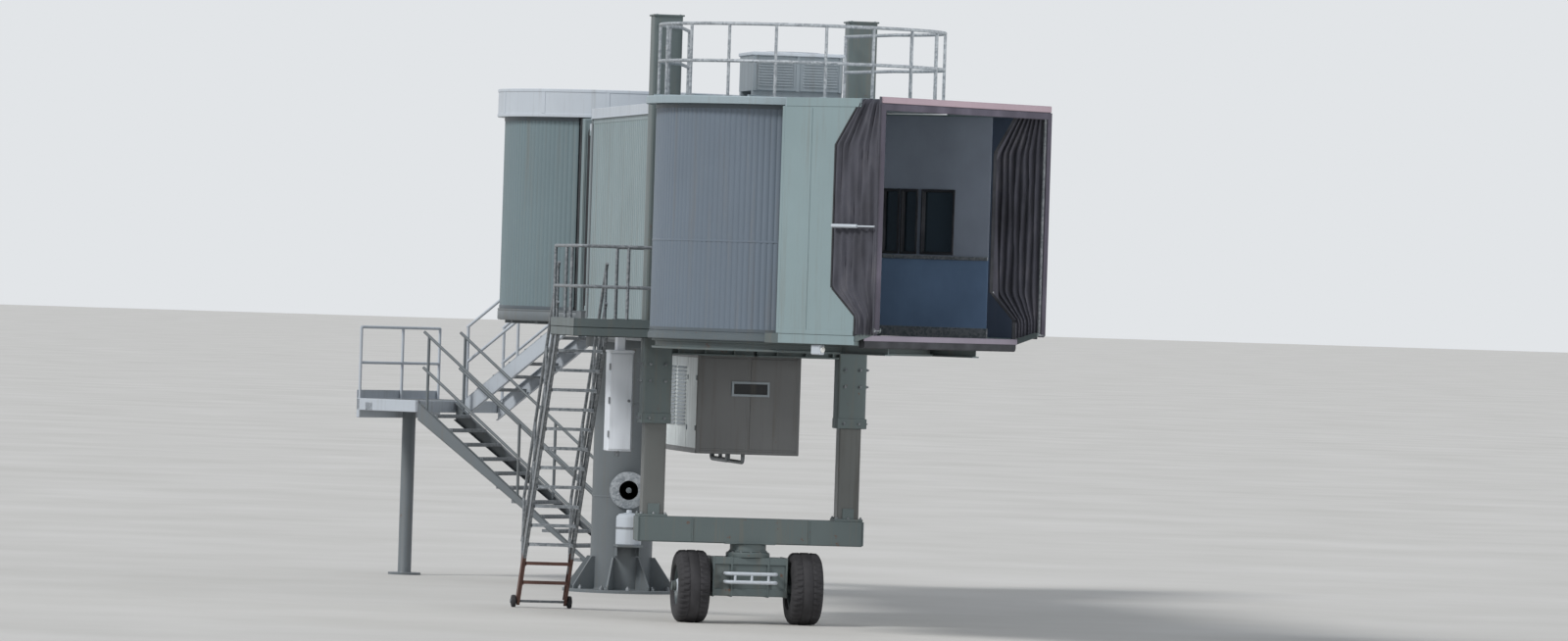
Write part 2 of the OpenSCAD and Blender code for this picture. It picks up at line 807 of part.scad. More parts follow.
module guard_rail() {
    r = bubble_r - 40;
    w = 2 * tube_r;
    start = [lift_x + 260, outer_y - 60, 0];
    bend = [bubble_x + r * cos(rail_angle), r * sin(rail_angle), 0];
    // The round bars run on a little past the straight ones, so that the two overlap.
    past = rail_angle + 3;
    color(steel) {
        for (z = [outer_top + guard_h / 2, outer_top + guard_h - w / 2]) {
            translate([bubble_x, 0, z - w / 2]) linear_extrude(w) difference() {
                circle(r = r + w / 2);
                circle(r = r - w / 2);
                polygon([[0, 0], 2 * r * [cos(past), sin(past)], [-4 * r, 0],
                    2 * r * [cos(past), -sin(past)]]);
            }
            both_sides() level_bar(start + [0, 0, z], bend + [0, 0, z], w - 4);
        }
        for (a = [-rail_angle + 10:20:rail_angle - 10])
            translate([bubble_x, 0, outer_top]) rotate([0, 0, a])
                box([r - w / 2 + 4, -w / 2 + 4, 0], [r + w / 2 - 4, w / 2 - 4, guard_h - w / 2]);
        both_sides() box(start + [0, -w / 2 + 5, outer_top],
            start + [w - 8, w / 2 - 5, outer_top + guard_h - w / 2]);
    }
}

// A flight of thin sloping blades over a height, on a face that looks along +X
module louvres(width, z0, z1) {
    for (z = [z0:louvre_pitch:z1])
        translate([-4, -width / 2, z]) rotate([0, -40, 0]) cube([4, width, 24]);
}

module roof_unit() {
    back = bubble_x - unit_l / 2;
    front = bubble_x + unit_l / 2;
    side = unit_w - 400;
    base = outer_top + skid_h;
    top = base + unit_h;
    color([0.5, 0.52, 0.54]) {
        box([back + 10, -side + 10, base], [front - 10, 390, top - air_rim]);
        box([back, -side, top - air_rim], [front, 400, top]);
        for (y = [-side, -side / 2 + 180, 360])
            box([back, y, base], [front, y + air_rim, top - air_rim]);
        for (x = [back + 40, front - 120])
            box([x, -side, outer_top], [x + 80, 400, base]);
        for (y = [-385, 135])
            translate([front, y, 0]) louvres(unit_w * 0.4, base + 60, top - 2 * air_rim);
        for (r = [80:80:320])
            translate([bubble_x, -120, top]) difference() {
                cylinder(r = r, h = 16);
                translate([0, 0, -1]) cylinder(r = r - 12, h = 18);
            }
        for (a = [0:45:315])
            translate([bubble_x, -120, top]) rotate([0, 0, a]) box([60, -5, 0], [315, 5, 10]);
    }
}

module air_unit() {
    x1 = lift_x - lift_w / 2 - 120;
    x0 = x1 - air_l;
    step = (air_l - air_rim) / air_panels;
    panel = air_rim / 4;
    color([0.60, 0.61, 0.62]) {
        difference() {
            union() {
                box([x0 + panel, -air_y + panel, air_z0 + panel], [x1 - panel, air_y - panel, air_z1]);
                for (z = [air_z0, air_z1 - air_rim]) {
                    both_sides() box([x0, air_y - air_rim, z], [x1, air_y, z + air_rim]);
                    for (x = [x0, x1 - air_rim])
                        box([x, -air_y, z], [x + air_rim, air_y, z + air_rim]);
                }
                both_sides() for (i = [0:air_panels])
                    box([x0 + i * step, air_y - air_rim, air_z0],
                        [x0 + i * step + air_rim, air_y, air_z1]);
            }
            box([x1 - 2 * air_rim, -slot_w / 2, air_z1 - 480],
                [x1 + 1, slot_w / 2, air_z1 - 480 + slot_h]);
        }
        for (i = [1, 2])
            translate([x0 + (i + 0.5) * step + air_rim / 2, -air_y, 0]) rotate([0, 0, -90])
                louvres(step - 2 * air_rim, air_z0 + 300, air_z1 - 200);
        for (x = [x0 + 200, x1 - 300])
            both_sides() box([x, air_y - 120, air_z1], [x + 100, air_y - 20, outer_base]);
        for (y = [-150, 0]) {
            rod([x0 + 1300, y, air_z0 - 80], [x1 - 400, y, air_z0 - 80], 25);
            for (x = [x0 + 1300, x1 - 400])
                rod([x, y, air_z0 - 80], [x, y, air_z0 + panel + 10], 25);
        }
    }
}

module power_cabinet() {
    x0 = landing_x0 + 140;
    y0 = -outer_y - 700;
    top = air_z0 + cabinet_h;
    color(white) {
        box([x0, y0 + 8, air_z0], [x0 + cabinet_w - 12, y0 + 300, top - 20]);
        box([x0 + cabinet_w - 16, y0 + 20, air_z0 + 20], [x0 + cabinet_w, y0 + 285, top - 40]);
        box([x0, y0, top - 20], [x0 + cabinet_w + 8, y0 + 305, top]);
        box([x0 + 60, y0 + 100, top], [x0 + 260, y0 + 200, landing_z - landing_t]);
        for (x = [80:80:240])
            translate([x0 + x, y0 + 150, air_z0 - 60]) cylinder(r = 18, h = 61);
    }
}

// Hose reel and canister on the column

module hose_reel() {
    wide = 4 * hose_r;
    drum = reel_r / 2;
    color(steel) translate([column_r + 10, 0, reel_z]) rotate([0, 90, 0]) {
        rotate_extrude() {
            translate([reel_axle_r + seat, 0]) square([15, wide + 20]);
            for (z = [6, wide + 10])
                translate([drum, z]) square([reel_r - drum, 4]);
            translate([drum, 6]) square([reel_r - 2 * hose_r - drum, wide + 8]);
            for (z = [hose_r + 10, 3 * hose_r + 10])
                translate([reel_r - 2 * hose_r, z]) circle(r = hose_r, $fn = 24);
        }
        for (a = [0:90:270])
            for (z = [6, wide + 10])
                rotate([0, 0, a]) box([reel_axle_r + 10, -12, z], [drum + 3, 12, z + 4]);
    }
}

module hose_canister() {
    color(white) translate([column_r + canister_r + 20, 0, canister_z + seat]) {
        cylinder(r = canister_r, h = canister_h - 50);
        translate([0, 0, canister_h - 50]) cylinder(r1 = canister_r, r2 = 60, h = 40);
        translate([0, 0, canister_h - 10]) cylinder(r = 35, h = 40);
    }
}

module service_landing() {
    inner_edge = outer_y + lift_w + 50;
    z0 = landing_z - landing_t;
    color(steel) mirror([0, 1, 0]) difference() {
        union() {
            box([landing_x0, inner_edge, z0], [landing_x1, landing_y, landing_z]);
            box([landing_x0, outer_y + rib_d + 4, z0], [lift_x - 220, inner_edge, landing_z]);
            box([lift_x + 220, outer_y, z0], [landing_x1, inner_edge, landing_z]);
            for (h = [rail_h / 2, rail_h]) {
                rod([landing_x0 + 40, landing_y - 30, landing_z + h],
                    [landing_x1 - 40, landing_y - 30, landing_z + h], tube_r);
                rod([landing_x1 - 40, outer_y + 120, landing_z + h],
                    [landing_x1 - 40, landing_y - 30, landing_z + h], tube_r);
                rod([landing_x0 + 40, outer_y + 120, landing_z + h],
                    [landing_x0 + 40, stair_y - stair_w / 2 - 60, landing_z + h], tube_r);
            }
            for (x = [landing_x0 + 40, (landing_x0 + landing_x1) / 2, landing_x1 - 40])
                rod([x, landing_y - 30, landing_z - 20], [x, landing_y - 30, landing_z + rail_h],
                    tube_r);
            rod([landing_x1 - 40, outer_y + 120, landing_z - 20],
                [landing_x1 - 40, outer_y + 120, landing_z + rail_h], tube_r);
            for (y = [outer_y + 120, stair_y - stair_w / 2 - 60])
                rod([landing_x0 + 40, y, landing_z - 20],
                    [landing_x0 + 40, y, landing_z + rail_h], tube_r);
            for (y = [stair_y - stair_w / 2 - 60, stair_y + stair_w / 2 + 20])
                box([stair_hinge_x - 40, y, z0], [landing_x0, y + 40, landing_z - 20]);
            box([landing_x0, landing_y - 8, landing_z], [landing_x1, landing_y, landing_z + kick_h]);
            box([landing_x1 - 8, outer_y + 90, landing_z], [landing_x1, landing_y, landing_z + kick_h]);
            box([landing_x0, outer_y + 90, landing_z],
                [landing_x0 + 8, stair_y - stair_w / 2 - 30, landing_z + kick_h]);
        }
        translate([stair_hinge_x, 0, stair_hinge_z]) rotate([-90, 0, 0])
            cylinder(r = hinge_r - 5 + seat, h = 3000);
    }
}

module cab_left_curtain() {
    color(slat) translate([bubble_x, 0, 0])
        curtain(cab_curtain_r, -tunnel_jamb + 2, cab_angle - 58, outer_z + seat,
            outer_roof_z - seat);
}

module cab_right_curtain() {
    color(slat) translate([bubble_x, 0, 0])
        curtain(cab_curtain_r, cab_angle + 91, tunnel_jamb - 2, outer_z + seat,
            outer_roof_z - seat);
}

// Lift and bogie

module lift_legs() {
    pad = lift_w - 2 * lift_wall - 2 * seat;
    color(steel) both_sides() {
        box([lift_x - leg_w / 2, lift_y - leg_w / 2, beam_top],
            [lift_x + leg_w / 2, lift_y + leg_w / 2, leg_top]);
        for (z = [leg_top - 200, lift_bottom + 500])
            box([lift_x - pad / 2, lift_y - pad / 2, z], [lift_x + pad / 2, lift_y + pad / 2,
                z + 200]);
    }
}

module cross_beam() {
    color(steel) {
        box([lift_x - 170, -lift_y - 180, beam_top - beam_h],
            [lift_x + 170, lift_y + 180, beam_top]);
        translate([lift_x, 0, beam_top - beam_h - boss_h]) cylinder(r = 220, h = boss_h);
    }
}

module bogie_frame() {
    top = beam_top - beam_h - boss_h - seat;
    color(steel) translate([lift_x, 0, 0]) {
        translate([0, 0, top - 60]) cylinder(r = 260, h = 60);
        box([-240, -wheel_y + wheel_w / 2 + 40, wheel_r - 120],
            [240, wheel_y - wheel_w / 2 - 40, top - 60]);
        translate([0, -wheel_y - wheel_w / 2 - 30, wheel_r]) rotate([-90, 0, 0])
            cylinder(r = axle_r, h = 2 * wheel_y + wheel_w + 60);
        both_sides() {
            translate([-240 - motor_r * 0.7, 8, wheel_r + 130]) rotate([-90, 0, 0]) {
                cylinder(r = motor_r * 0.8, h = 20);
                translate([0, 0, 12]) cylinder(r = motor_r, h = 190);
            }
            box([-380, 200, wheel_r - 50], [-200, wheel_y - wheel_w / 2 - 90, wheel_r + 230]);
            for (z = [wheel_r + 70, wheel_r + 170])
                rod([230, 300, z], [240 + tow_reach, 300, z], 22);
        }
        for (z = [wheel_r + 70, wheel_r + 170])
            rod([240 + tow_reach, -322, z], [240 + tow_reach, 322, z], 22);
        for (y = [-200, 0, 200])
            rod([240 + tow_reach, y, wheel_r + 70], [240 + tow_reach, y, wheel_r + 170], 16);
    }
}

module wheel() {
    w = wheel_w / 2;
    color(rubber) translate([lift_x, wheel_y, wheel_r]) rotate([90, 0, 0])
        rotate_extrude($fn = 96) polygon([[axle_r + seat, -w + 20], [axle_r + 30, -w + 20],
            [axle_r + 40, -w + 60], [wheel_r * 0.52, -w + 60],
            [wheel_r * 0.55, -w], [wheel_r - 40, -w], [wheel_r, -w + 40], [wheel_r, w - 40],
            [wheel_r - 40, w], [wheel_r * 0.55, w], [wheel_r * 0.52, w - 60],
            [axle_r + seat, w - 60]]);
}

module left_wheel() {
    mirror([0, 1, 0]) wheel();
}

module right_wheel() {
    wheel();
}

// Cab

module cab_floor() {
    ring_z = outer_base - 110;
    color(steel) at_cab() {
        translate([0, 0, outer_base]) linear_extrude(cab_z - outer_base) difference() {
            translate([0, -cab_y - cab_t]) square([cab_front, 2 * (cab_y + cab_t)]);
            circle(r = bubble_r + clear);
        }
        translate([0, 0, ring_z]) difference() {
            cylinder(r = bubble_r - 50, h = outer_base - seat - ring_z);
            translate([0, 0, -1]) cylinder(r = bubble_r - 250, h = 200);
        }
        both_sides() difference() {
            box([1200, 760, ring_z], [cab_front - 40, 880, outer_base]);
            translate([0, 0, outer_base - seat]) cylinder(r = bubble_r + clear, h = 20);
        }
        box([1420, -cab_y - 40, outer_base - 130], [1580, -cab_y + 70, outer_base + 20]);
        both_sides() {
            upright([[cab_front - 60, outer_base + 20], [hoop_x + 40, hoop_pin_z - 25],
                [hoop_x + 45, hoop_pin_z + 20], [hoop_x, hoop_pin_z + 20],
                [cab_front, cab_z], [cab_front - 60, cab_z]], hoop_y - 130, hoop_y - 112);
            translate([hoop_x + hoop_t / 2, hoop_y - 120, hoop_pin_z]) rotate([-90, 0, 0])
                cylinder(r = hoop_pin_r, h = 115);
        }
    }
}

// Side wall outline in X and Z: the front edge is cut back between two flares
module cab_side(back) {
    polygon([[back, cab_z], [cab_front, cab_z], [cab_front, cab_z + 220],
        [cab_mid, cab_z + 540], [cab_mid, cab_roof_z - 430], [cab_front - 60, cab_roof_z],
        [back, cab_roof_z]]);
}

module cab_window_wall() {
    color(paint) at_cab() translate([0, cab_y + cab_t, 0]) rotate([90, 0, 0])
        linear_extrude(cab_t) difference() {
            cab_side(window_wall_back);
            for (w = windows)
                translate([w[0], cab_z + window_sill]) square([w[1] - w[0], window_h]);
        }
}

module cab_plain_wall() {
    color(paint) at_cab() {
        translate([0, -cab_y, 0]) rotate([90, 0, 0]) linear_extrude(cab_t) cab_side(cab_back);
        box([cab_back - 40, -cab_y - cab_t, cab_z], [cab_back, -cab_y + 60, cab_roof_z]);
    }
}

module cab_roof() {
    color(white) at_cab() translate([0, 0, cab_roof_z]) linear_extrude(outer_roof_t) difference() {
        translate([0, -cab_y - cab_t]) square([cab_front, 2 * (cab_y + cab_t)]);
        circle(r = bubble_roof_r + clear);
    }
}

module cab_bumper() {
    color(rubber) at_cab() box([cab_front, -cab_y + 30, outer_base - 30],
        [cab_front + bumper_d, cab_y - 30, cab_z]);
}

module cab_windows() {
    color([0.12, 0.15, 0.18]) at_cab() for (w = windows)
        box([w[0], cab_y + cab_t / 2 - 5, cab_z + window_sill],
            [w[1], cab_y + cab_t / 2 + 5, cab_z + window_sill + window_h]);
}

// Canopy

module canopy_hoop() {
    color(dark) at_cab() difference() {
        translate([hoop_x, 0, 0]) rotate([90, 0, 90]) linear_extrude(hoop_t) difference() {
            translate([-hoop_y, cab_z + 40]) square([2 * hoop_y, cab_top + hoop_rise - cab_z - 40]);
            translate([-hoop_y + 90, cab_z]) square([2 * hoop_y - 180, cab_top - cab_z - 60]);
        }
        translate([hoop_x + hoop_t / 2, -hoop_y - 1, hoop_pin_z]) rotate([-90, 0, 0])
            cylinder(r = hoop_pin_r + seat, h = 2 * hoop_y + 2);
    }
}

module canopy_bellows() {
    back = cab_front + 5;
    front = hoop_x - seat;
    color(dark) at_cab() {
        for (y = [-cab_y - cab_t - 40, cab_y + cab_t - 20])
            upright([[back, cab_z + 80], [front, cab_z + 80], [front, cab_roof_z + 60],
                [back, cab_roof_z + 60], [back, cab_roof_z + 5], [cab_mid + 5, cab_roof_z - 440],
                [cab_mid + 5, cab_z + 546], [back, cab_z + 226]], y, y + 60);
        box([back, -cab_y - cab_t - 40, cab_roof_z + 60], [front, cab_y + cab_t + 40, cab_top]);
    }
}

// Service stair, hung on the landing and rolling on two foot wheels

module service_stair() {
    y0 = stair_y - stair_w / 2;
    y1 = stair_y + stair_w / 2;
    length = stair_run / cos(stair_slope);
    function at(t, z) = [-stair_run * t, 0, z - stair_drop * t];
    color(steel) mirror([0, 1, 0]) translate([stair_hinge_x, 0, stair_hinge_z])
        difference() {
            union() {
                mirror([1, 0, 0]) rotate([0, stair_slope, 0])
                    for (y = [y0, y1 - 40])
                        box([-15, y, -45], [length + 25, y + 40, 75]);
                for (y = [y0 + 20, y1 - 20]) {
                    for (h = [rail_h / 2, rail_h])
                        rod(at(0.04, h) + [0, y, 0], at(0.92, h) + [0, y, 0], tube_r);
                    for (t = [0.06, 0.48, 0.9])
                        rod(at(t, 20) + [0, y, 0], at(t, rail_h) + [0, y, 0], tube_r - 2);
                }
                for (i = [1:stair_treads])
                    translate(at(i / (stair_treads + 1), 0))
                        box([-tread_d / 2, y0 + 30, -18], [tread_d / 2, y1 - 30, 18]);
                translate([0, y0 - 70, 0]) rotate([-90, 0, 0])
                    cylinder(r = hinge_r - 5, h = stair_w + 140);
            }
            translate([-stair_run, 0, -stair_drop]) rotate([-90, 0, 0])
                cylinder(r = foot_axle_r, h = 3000);
        }
}

module stair_wheels() {
    color(rubber) mirror([0, 1, 0]) translate([stair_foot_x, 0, foot_r]) rotate([-90, 0, 0]) {
        translate([0, 0, stair_y - stair_w / 2 - 70])
            cylinder(r = foot_axle_r - seat, h = stair_w + 140);
        for (y = [stair_y - stair_w / 2 - 60, stair_y + stair_w / 2 + 10])
            translate([0, 0, y]) cylinder(r = foot_r, h = 50);
    }
}

rotunda_column();
rotunda_floor();
rotunda_roof();
corridor_floor();
corridor_door_wall();
corridor_plain_wall();
corridor_roof();
egress_door();
egress_landing();
egress_mid_landing();
egress_upper_flight();
egress_lower_flight();
swing_frame();
throat_left_wall();
throat_right_wall();
throat_roof();
rotunda_left_curtain();
rotunda_right_curtain();
hinge_bellows();
inner_tunnel_floor();
inner_left_wall();
inner_right_wall();
inner_tunnel_roof();
outer_tunnel_floor();
outer_left_wall();
outer_right_wall();
outer_tunnel_roof();
service_door();
service_door_glass();
bubble_floor();
bubble_roof();
lift_left_column();
lift_right_column();
roof_ladder();
guard_rail();
roof_unit();
air_unit();
power_cabinet();
service_landing();
cab_left_curtain();
cab_right_curtain();
lift_legs();
cross_beam();
bogie_frame();
left_wheel();
right_wheel();
cab_floor();
cab_window_wall();
cab_plain_wall();
cab_roof();
cab_bumper();
cab_windows();
canopy_hoop();
canopy_bellows();
service_stair();
stair_wheels();
hose_reel();
hose_canister();
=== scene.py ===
# Looks of an apron-drive jet bridge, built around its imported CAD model. Metres, in the CAD's
# frame: origin on the ground under the round room, +X along the tunnels, +Y the aircraft side.
import math

import bmesh
import bpy
import numpy as np
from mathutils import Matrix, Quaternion, Vector


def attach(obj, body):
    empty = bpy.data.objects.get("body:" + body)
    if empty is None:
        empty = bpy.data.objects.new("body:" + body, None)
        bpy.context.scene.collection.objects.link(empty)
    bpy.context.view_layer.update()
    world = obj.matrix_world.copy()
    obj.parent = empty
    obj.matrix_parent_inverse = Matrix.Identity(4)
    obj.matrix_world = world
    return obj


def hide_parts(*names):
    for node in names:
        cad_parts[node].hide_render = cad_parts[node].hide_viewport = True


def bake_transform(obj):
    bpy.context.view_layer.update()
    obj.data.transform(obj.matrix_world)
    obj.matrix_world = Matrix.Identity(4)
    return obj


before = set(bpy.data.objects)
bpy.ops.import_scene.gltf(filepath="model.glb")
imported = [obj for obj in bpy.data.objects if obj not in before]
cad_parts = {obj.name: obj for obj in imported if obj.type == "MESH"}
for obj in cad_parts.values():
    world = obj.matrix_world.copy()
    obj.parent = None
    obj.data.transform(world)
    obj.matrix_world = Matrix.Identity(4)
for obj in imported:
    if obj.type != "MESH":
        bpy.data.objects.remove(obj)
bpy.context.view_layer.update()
scene = bpy.context.scene
scene.view_settings.view_transform = "Standard"


# Camera. The bridge is seen almost end on from far across the apron with a long lens, from
# 3.9 m above the ground, and the picture leans by 1.8 degrees as the photograph does.
def aimed(name, data, at, towards, lean=0.0):
    """A camera or lamp at a point, facing along a direction and leant about it by degrees."""
    made = bpy.data.objects.new(name, data)
    scene.collection.objects.link(made)
    made.location = at
    made.rotation_mode = "QUATERNION"
    made.rotation_quaternion = (towards.to_track_quat("-Z", "Y")
                                @ Quaternion((0, 0, 1), math.radians(lean)))
    return made


eye, aim = Vector((119.5, -17.8, 3.94)), Vector((12.6, -0.05, 3.62))
camera_data = bpy.data.cameras.new("camera")
camera_data.sensor_width, camera_data.lens = 36, 214
camera_data.clip_start, camera_data.clip_end = 1, 3000
scene.camera = aimed("camera", camera_data, eye, aim - eye, lean=1.8)


def linear(red, green, blue):
    """A colour read off a screen, 0 to 255 each, as the linear values that a shader takes.
    Up to 0.04045 of full a value is divided by 12.92; above that 0.055 is added, the sum is
    divided by 1.055 and raised to the power of 2.4."""
    c = np.array([red, green, blue]) / 255
    return np.where(c < 0.04045, c / 12.92, ((c + 0.055) / 1.055) ** 2.4)


def rgba(value):
    """A grey or a linear colour as the four numbers of a socket."""
    return (*np.broadcast_to(value, 3).tolist(), 1.0)


def node(tree, kind, into=None, **settings):
    """A shader node with its settings, and its first output linked into a socket if given."""
    made = tree.nodes.new(kind)
    for name, value in settings.items():
        if hasattr(made, name):
            setattr(made, name, value)
        else:
            made.inputs[name.replace("_", " ")].default_value = value
    if into is not None:
        tree.links.new(made.outputs[0], into)
    return made


def bare_material(name):
    """A new material, with its node tree and its shader."""
    made = bpy.data.materials.new(name)
    made.use_nodes = True
    return made, made.node_tree, made.node_tree.nodes["Principled BSDF"]


def on_piece(tree, into, stretch=None):
    """The piece's own metres led into a texture, squeezed along each axis by stretch."""
    place = node(tree, "ShaderNodeTexCoord").outputs["Object"]
    if stretch:
        squeeze = node(tree, "ShaderNodeMapping", Scale=stretch)
        tree.links.new(place, squeeze.inputs["Vector"])
        place = squeeze.outputs[0]
    tree.links.new(place, into)


def noise(tree, scale, stretch=None, detail=4.0, roughness=0.55):
    """Soft noise over the piece's own metres, with scale waves to each."""
    made = node(tree, "ShaderNodeTexNoise", Scale=scale, Detail=detail, Roughness=roughness)
    on_piece(tree, made.inputs["Vector"], stretch)
    return made.outputs["Fac"]


def ramp(factor, stops, into=None):
    """A colour ramp over a factor. A stop is a place and a grey or a linear colour."""
    made = node(factor.id_data, "ShaderNodeValToRGB", into)
    keys = made.color_ramp.elements
    for key, (place, colour) in zip((keys[0], keys[1]), (stops[0], stops[-1])):
        key.position, key.color = place, rgba(colour)
    for place, colour in stops[1:-1]:
        keys.new(place).color = rgba(colour)
    factor.id_data.links.new(factor, made.inputs[0])
    return made.outputs[0]


def mixed(factor, a, b):
    """Colour a turned into colour b by a factor; each may be a socket or a colour."""
    tree = factor.id_data
    made = node(tree, "ShaderNodeMix", data_type="RGBA")
    for value, socket in ((factor, made.inputs[0]), (a, made.inputs[6]), (b, made.inputs[7])):
        if isinstance(value, bpy.types.NodeSocket):
            tree.links.new(value, socket)
        else:
            socket.default_value = rgba(value)
    return made.outputs[2]


def finished(shader, colour, rough_by, dull, rough, grain=None, strength=0.0, depth=0.01):
    """A shader's colour, a roughness that grows from rough[0] to rough[1] as a factor goes
    through the places in dull, and a fine relief from a grain."""
    tree = colour.id_data
    tree.links.new(colour, shader.inputs["Base Color"])
    ramp(rough_by, list(zip(dull, rough)), shader.inputs["Roughness"])
    if grain is not None:
        bump = node(tree, "ShaderNodeBump", shader.inputs["Normal"], Strength=strength,
                    Distance=depth)
        tree.links.new(grain, bump.inputs["Height"])


# Floor and light. The floor is plain pale concrete. One broad lamp stands for the sun, high
# on the service side, a soft lamp lights the cab's inside, and an even sky fills the shade.
FAR = 900
floor_mesh = bpy.data.meshes.new("floor")
floor_mesh.from_pydata([(-FAR, -FAR, 0), (FAR, -FAR, 0), (FAR, FAR, 0), (-FAR, FAR, 0)], [],
                       [(0, 1, 2, 3)])
floor = bpy.data.objects.new("floor", floor_mesh)
scene.collection.objects.link(floor)
concrete, tree, shader = bare_material("pale_concrete")
ramp(noise(tree, 0.25, detail=6), [(0.3, linear(190, 187, 181)), (0.7, linear(203, 200, 195))],
     shader.inputs["Base Color"])
shader.inputs["Roughness"].default_value = 0.9
floor_mesh.materials.append(concrete)

sun_data = bpy.data.lights.new("sun", "SUN")
sun_data.energy, sun_data.angle = 2.1, math.radians(14)
aimed("sun", sun_data, (0, 0, 0), Vector((-0.32, 0.62, -0.62)))
fill_data = bpy.data.lights.new("fill", "AREA")
fill_data.size, fill_data.energy, fill_data.spread = 4.0, 150, math.radians(64)
fill = aimed("fill", fill_data, (21.2, 7.4, 5.0), Vector((-8.2, -7.4, 0)))
fill.visible_camera = fill.visible_glossy = False

scene.world = bpy.data.worlds.new("sky")
scene.world.use_nodes = True
tree = scene.world.node_tree
lighting = tree.nodes["Background"]
lighting.inputs["Color"].default_value = (0.80, 0.86, 0.95, 1)
lighting.inputs["Strength"].default_value = 0.62
backdrop = node(tree, "ShaderNodeBackground", Color=rgba(linear(226, 229, 232)), Strength=1.0)
ray = node(tree, "ShaderNodeLightPath")
choice = node(tree, "ShaderNodeMixShader", tree.nodes["World Output"].inputs["Surface"])
either = node(tree, "ShaderNodeMath", choice.inputs[0], operation="MAXIMUM")
for kind, socket in zip(("Is Camera Ray", "Is Glossy Ray"), either.inputs):
    tree.links.new(ray.outputs[kind], socket)
tree.links.new(lighting.outputs[0], choice.inputs[1])
tree.links.new(backdrop.outputs[0], choice.inputs[2])


# Column and base plate of the round room: welded steel plate under grey paint, stiffened by
# eight gussets and held down by twelve studs with nuts and washers.
def lofted(loops, capped=True):
    """A closed skin through loops of equal length, array (loops, points, 3): each quad joins
    neighbours on one loop to the same two on the next; the first and last loop are filled."""
    loops = np.asarray(loops, float)
    rows, count = loops.shape[:2]
    i, j = np.arange(rows - 1)[:, None], np.arange(count)[None, :]
    after = (j + 1) % count
    faces = [np.stack([i * count + j, i * count + after, (i + 1) * count + after,
                       (i + 1) * count + j], -1).reshape(-1, 4)]
    if capped:
        faces += [np.arange(count)[None, ::-1], (np.arange(count) + (rows - 1) * count)[None, :]]
    return loops.reshape(-1, 3), faces


def around(section, degrees):
    """Points of (radius, height) at each of the angles about the Z axis, one loop an angle."""
    a = np.radians(degrees)[:, None]
    radius, height = np.asarray(section, float).T
    return np.stack([np.cos(a) * radius, np.sin(a) * radius, height + 0 * a], -1)


def turned(profile, centre=(0, 0, 0), steps=96):
    """A profile of (radius, height) turned about the upright line through centre: a loft of
    circles, each at its own radius and height."""
    rings = around(profile, np.linspace(0, 360, steps, endpoint=False)).swapaxes(0, 1)
    return lofted(rings + np.asarray(centre, float))


def prism(outline, low, high):
    """A flat outline of (x, y) points carried straight up from low to high."""
    return stacked((outline, low), (outline, high))


def stacked(*levels):
    """Outlines laid at heights, (outline, height) each, as one closed skin."""
    return lofted([np.column_stack([flat, np.full(len(flat), z)]) for flat, z in levels])


def slab(corner, other, edge=0.004):
    """A block between two corners whose twelve edges are chamfered by edge: rectangles with
    two points to each corner, smaller by edge at the first and last height."""
    low, high = np.minimum(corner, other), np.maximum(corner, other)
    edge = min(edge, 0.45 * float((high - low).min()))
    angle = np.radians(np.array([0, 90])[None] + np.array([0, 90, 180, 270])[:, None])
    at_high = np.array([[1, 1], [0, 1], [0, 0], [1, 0]])[:, None, :]
    at = low[:2] + edge + at_high * (high[:2] - low[:2] - 2 * edge)
    out = np.stack([np.cos(angle), np.sin(angle)], -1)
    return stacked(*[((at + inset * out).reshape(8, 2), z) for inset, z in (
        (0, low[2]), (edge, low[2] + edge), (edge, high[2] - edge), (0, high[2]))])


def blocks(edge, *spans):
    """Slabs with the same chamfer, each given by its two corners in a row."""
    return joined(*[slab(span[:3], span[3:], edge) for span in spans])


def moved(shape, matrix=None, by=(0, 0, 0)):
    """A shape with its points turned by a 3 by 3 matrix, then shifted."""
    points, faces = shape
    if matrix is not None:
        points = points @ np.asarray(matrix, float).T
    return points + np.asarray(by, float), faces


def about_z(degrees):
    """The matrix that turns a shape about the Z axis."""
    c, s = math.cos(math.radians(degrees)), math.sin(math.radians(degrees))
    return np.array([[c, -s, 0], [s, c, 0], [0, 0, 1]])


# Matrices that lay an upright shape down, its Z along +X or along +Y, that stand a flat outline
# up in X and Z, and that mirror a shape to the other side of the tunnels.
ALONG_X = np.array([[0, 0, 1], [1, 0, 0], [0, 1, 0]])
ALONG_Y = np.array([[1, 0, 0], [0, 0, 1], [0, -1, 0]])
UPRIGHT = np.array([[1, 0, 0], [0, 0, 1], [0, 1, 0]])
MIRROR = np.diag([1, -1, 1])
HANDS = (("right", np.eye(3)), ("left", MIRROR))


def joined(*shapes):
    """Several shapes as one, the faces of each counted on from the points before it."""
    starts = np.cumsum([0] + [len(points) for points, _ in shapes])
    faces = [f + s for (_, group), s in zip(shapes, starts) for f in group]
    return np.concatenate([points for points, _ in shapes]), faces


def copies(shape, shifts):
    """The same shape set down at every shift."""
    return joined(*[moved(shape, by=shift) for shift in shifts])


def spread(shape, xs=(0,), ys=(0,), zs=(0,)):
    """The same shape set down at every mix of shifts along X, Y and Z."""
    return copies(shape, [(x, y, z) for x in xs for y in ys for z in zs])


def both(shape):
    """A shape and its mirror image on the other side of the tunnels' middle."""
    return joined(shape, moved(shape, MIRROR))


def round_about(shape, count, first=0.0, centre=(0, 0, 0)):
    """A shape at even angles about the upright line through centre, from the first on."""
    local = moved(shape, by=-np.asarray(centre, float))
    return joined(*[moved(local, about_z(first + i * 360 / count), centre)
                    for i in range(count)])


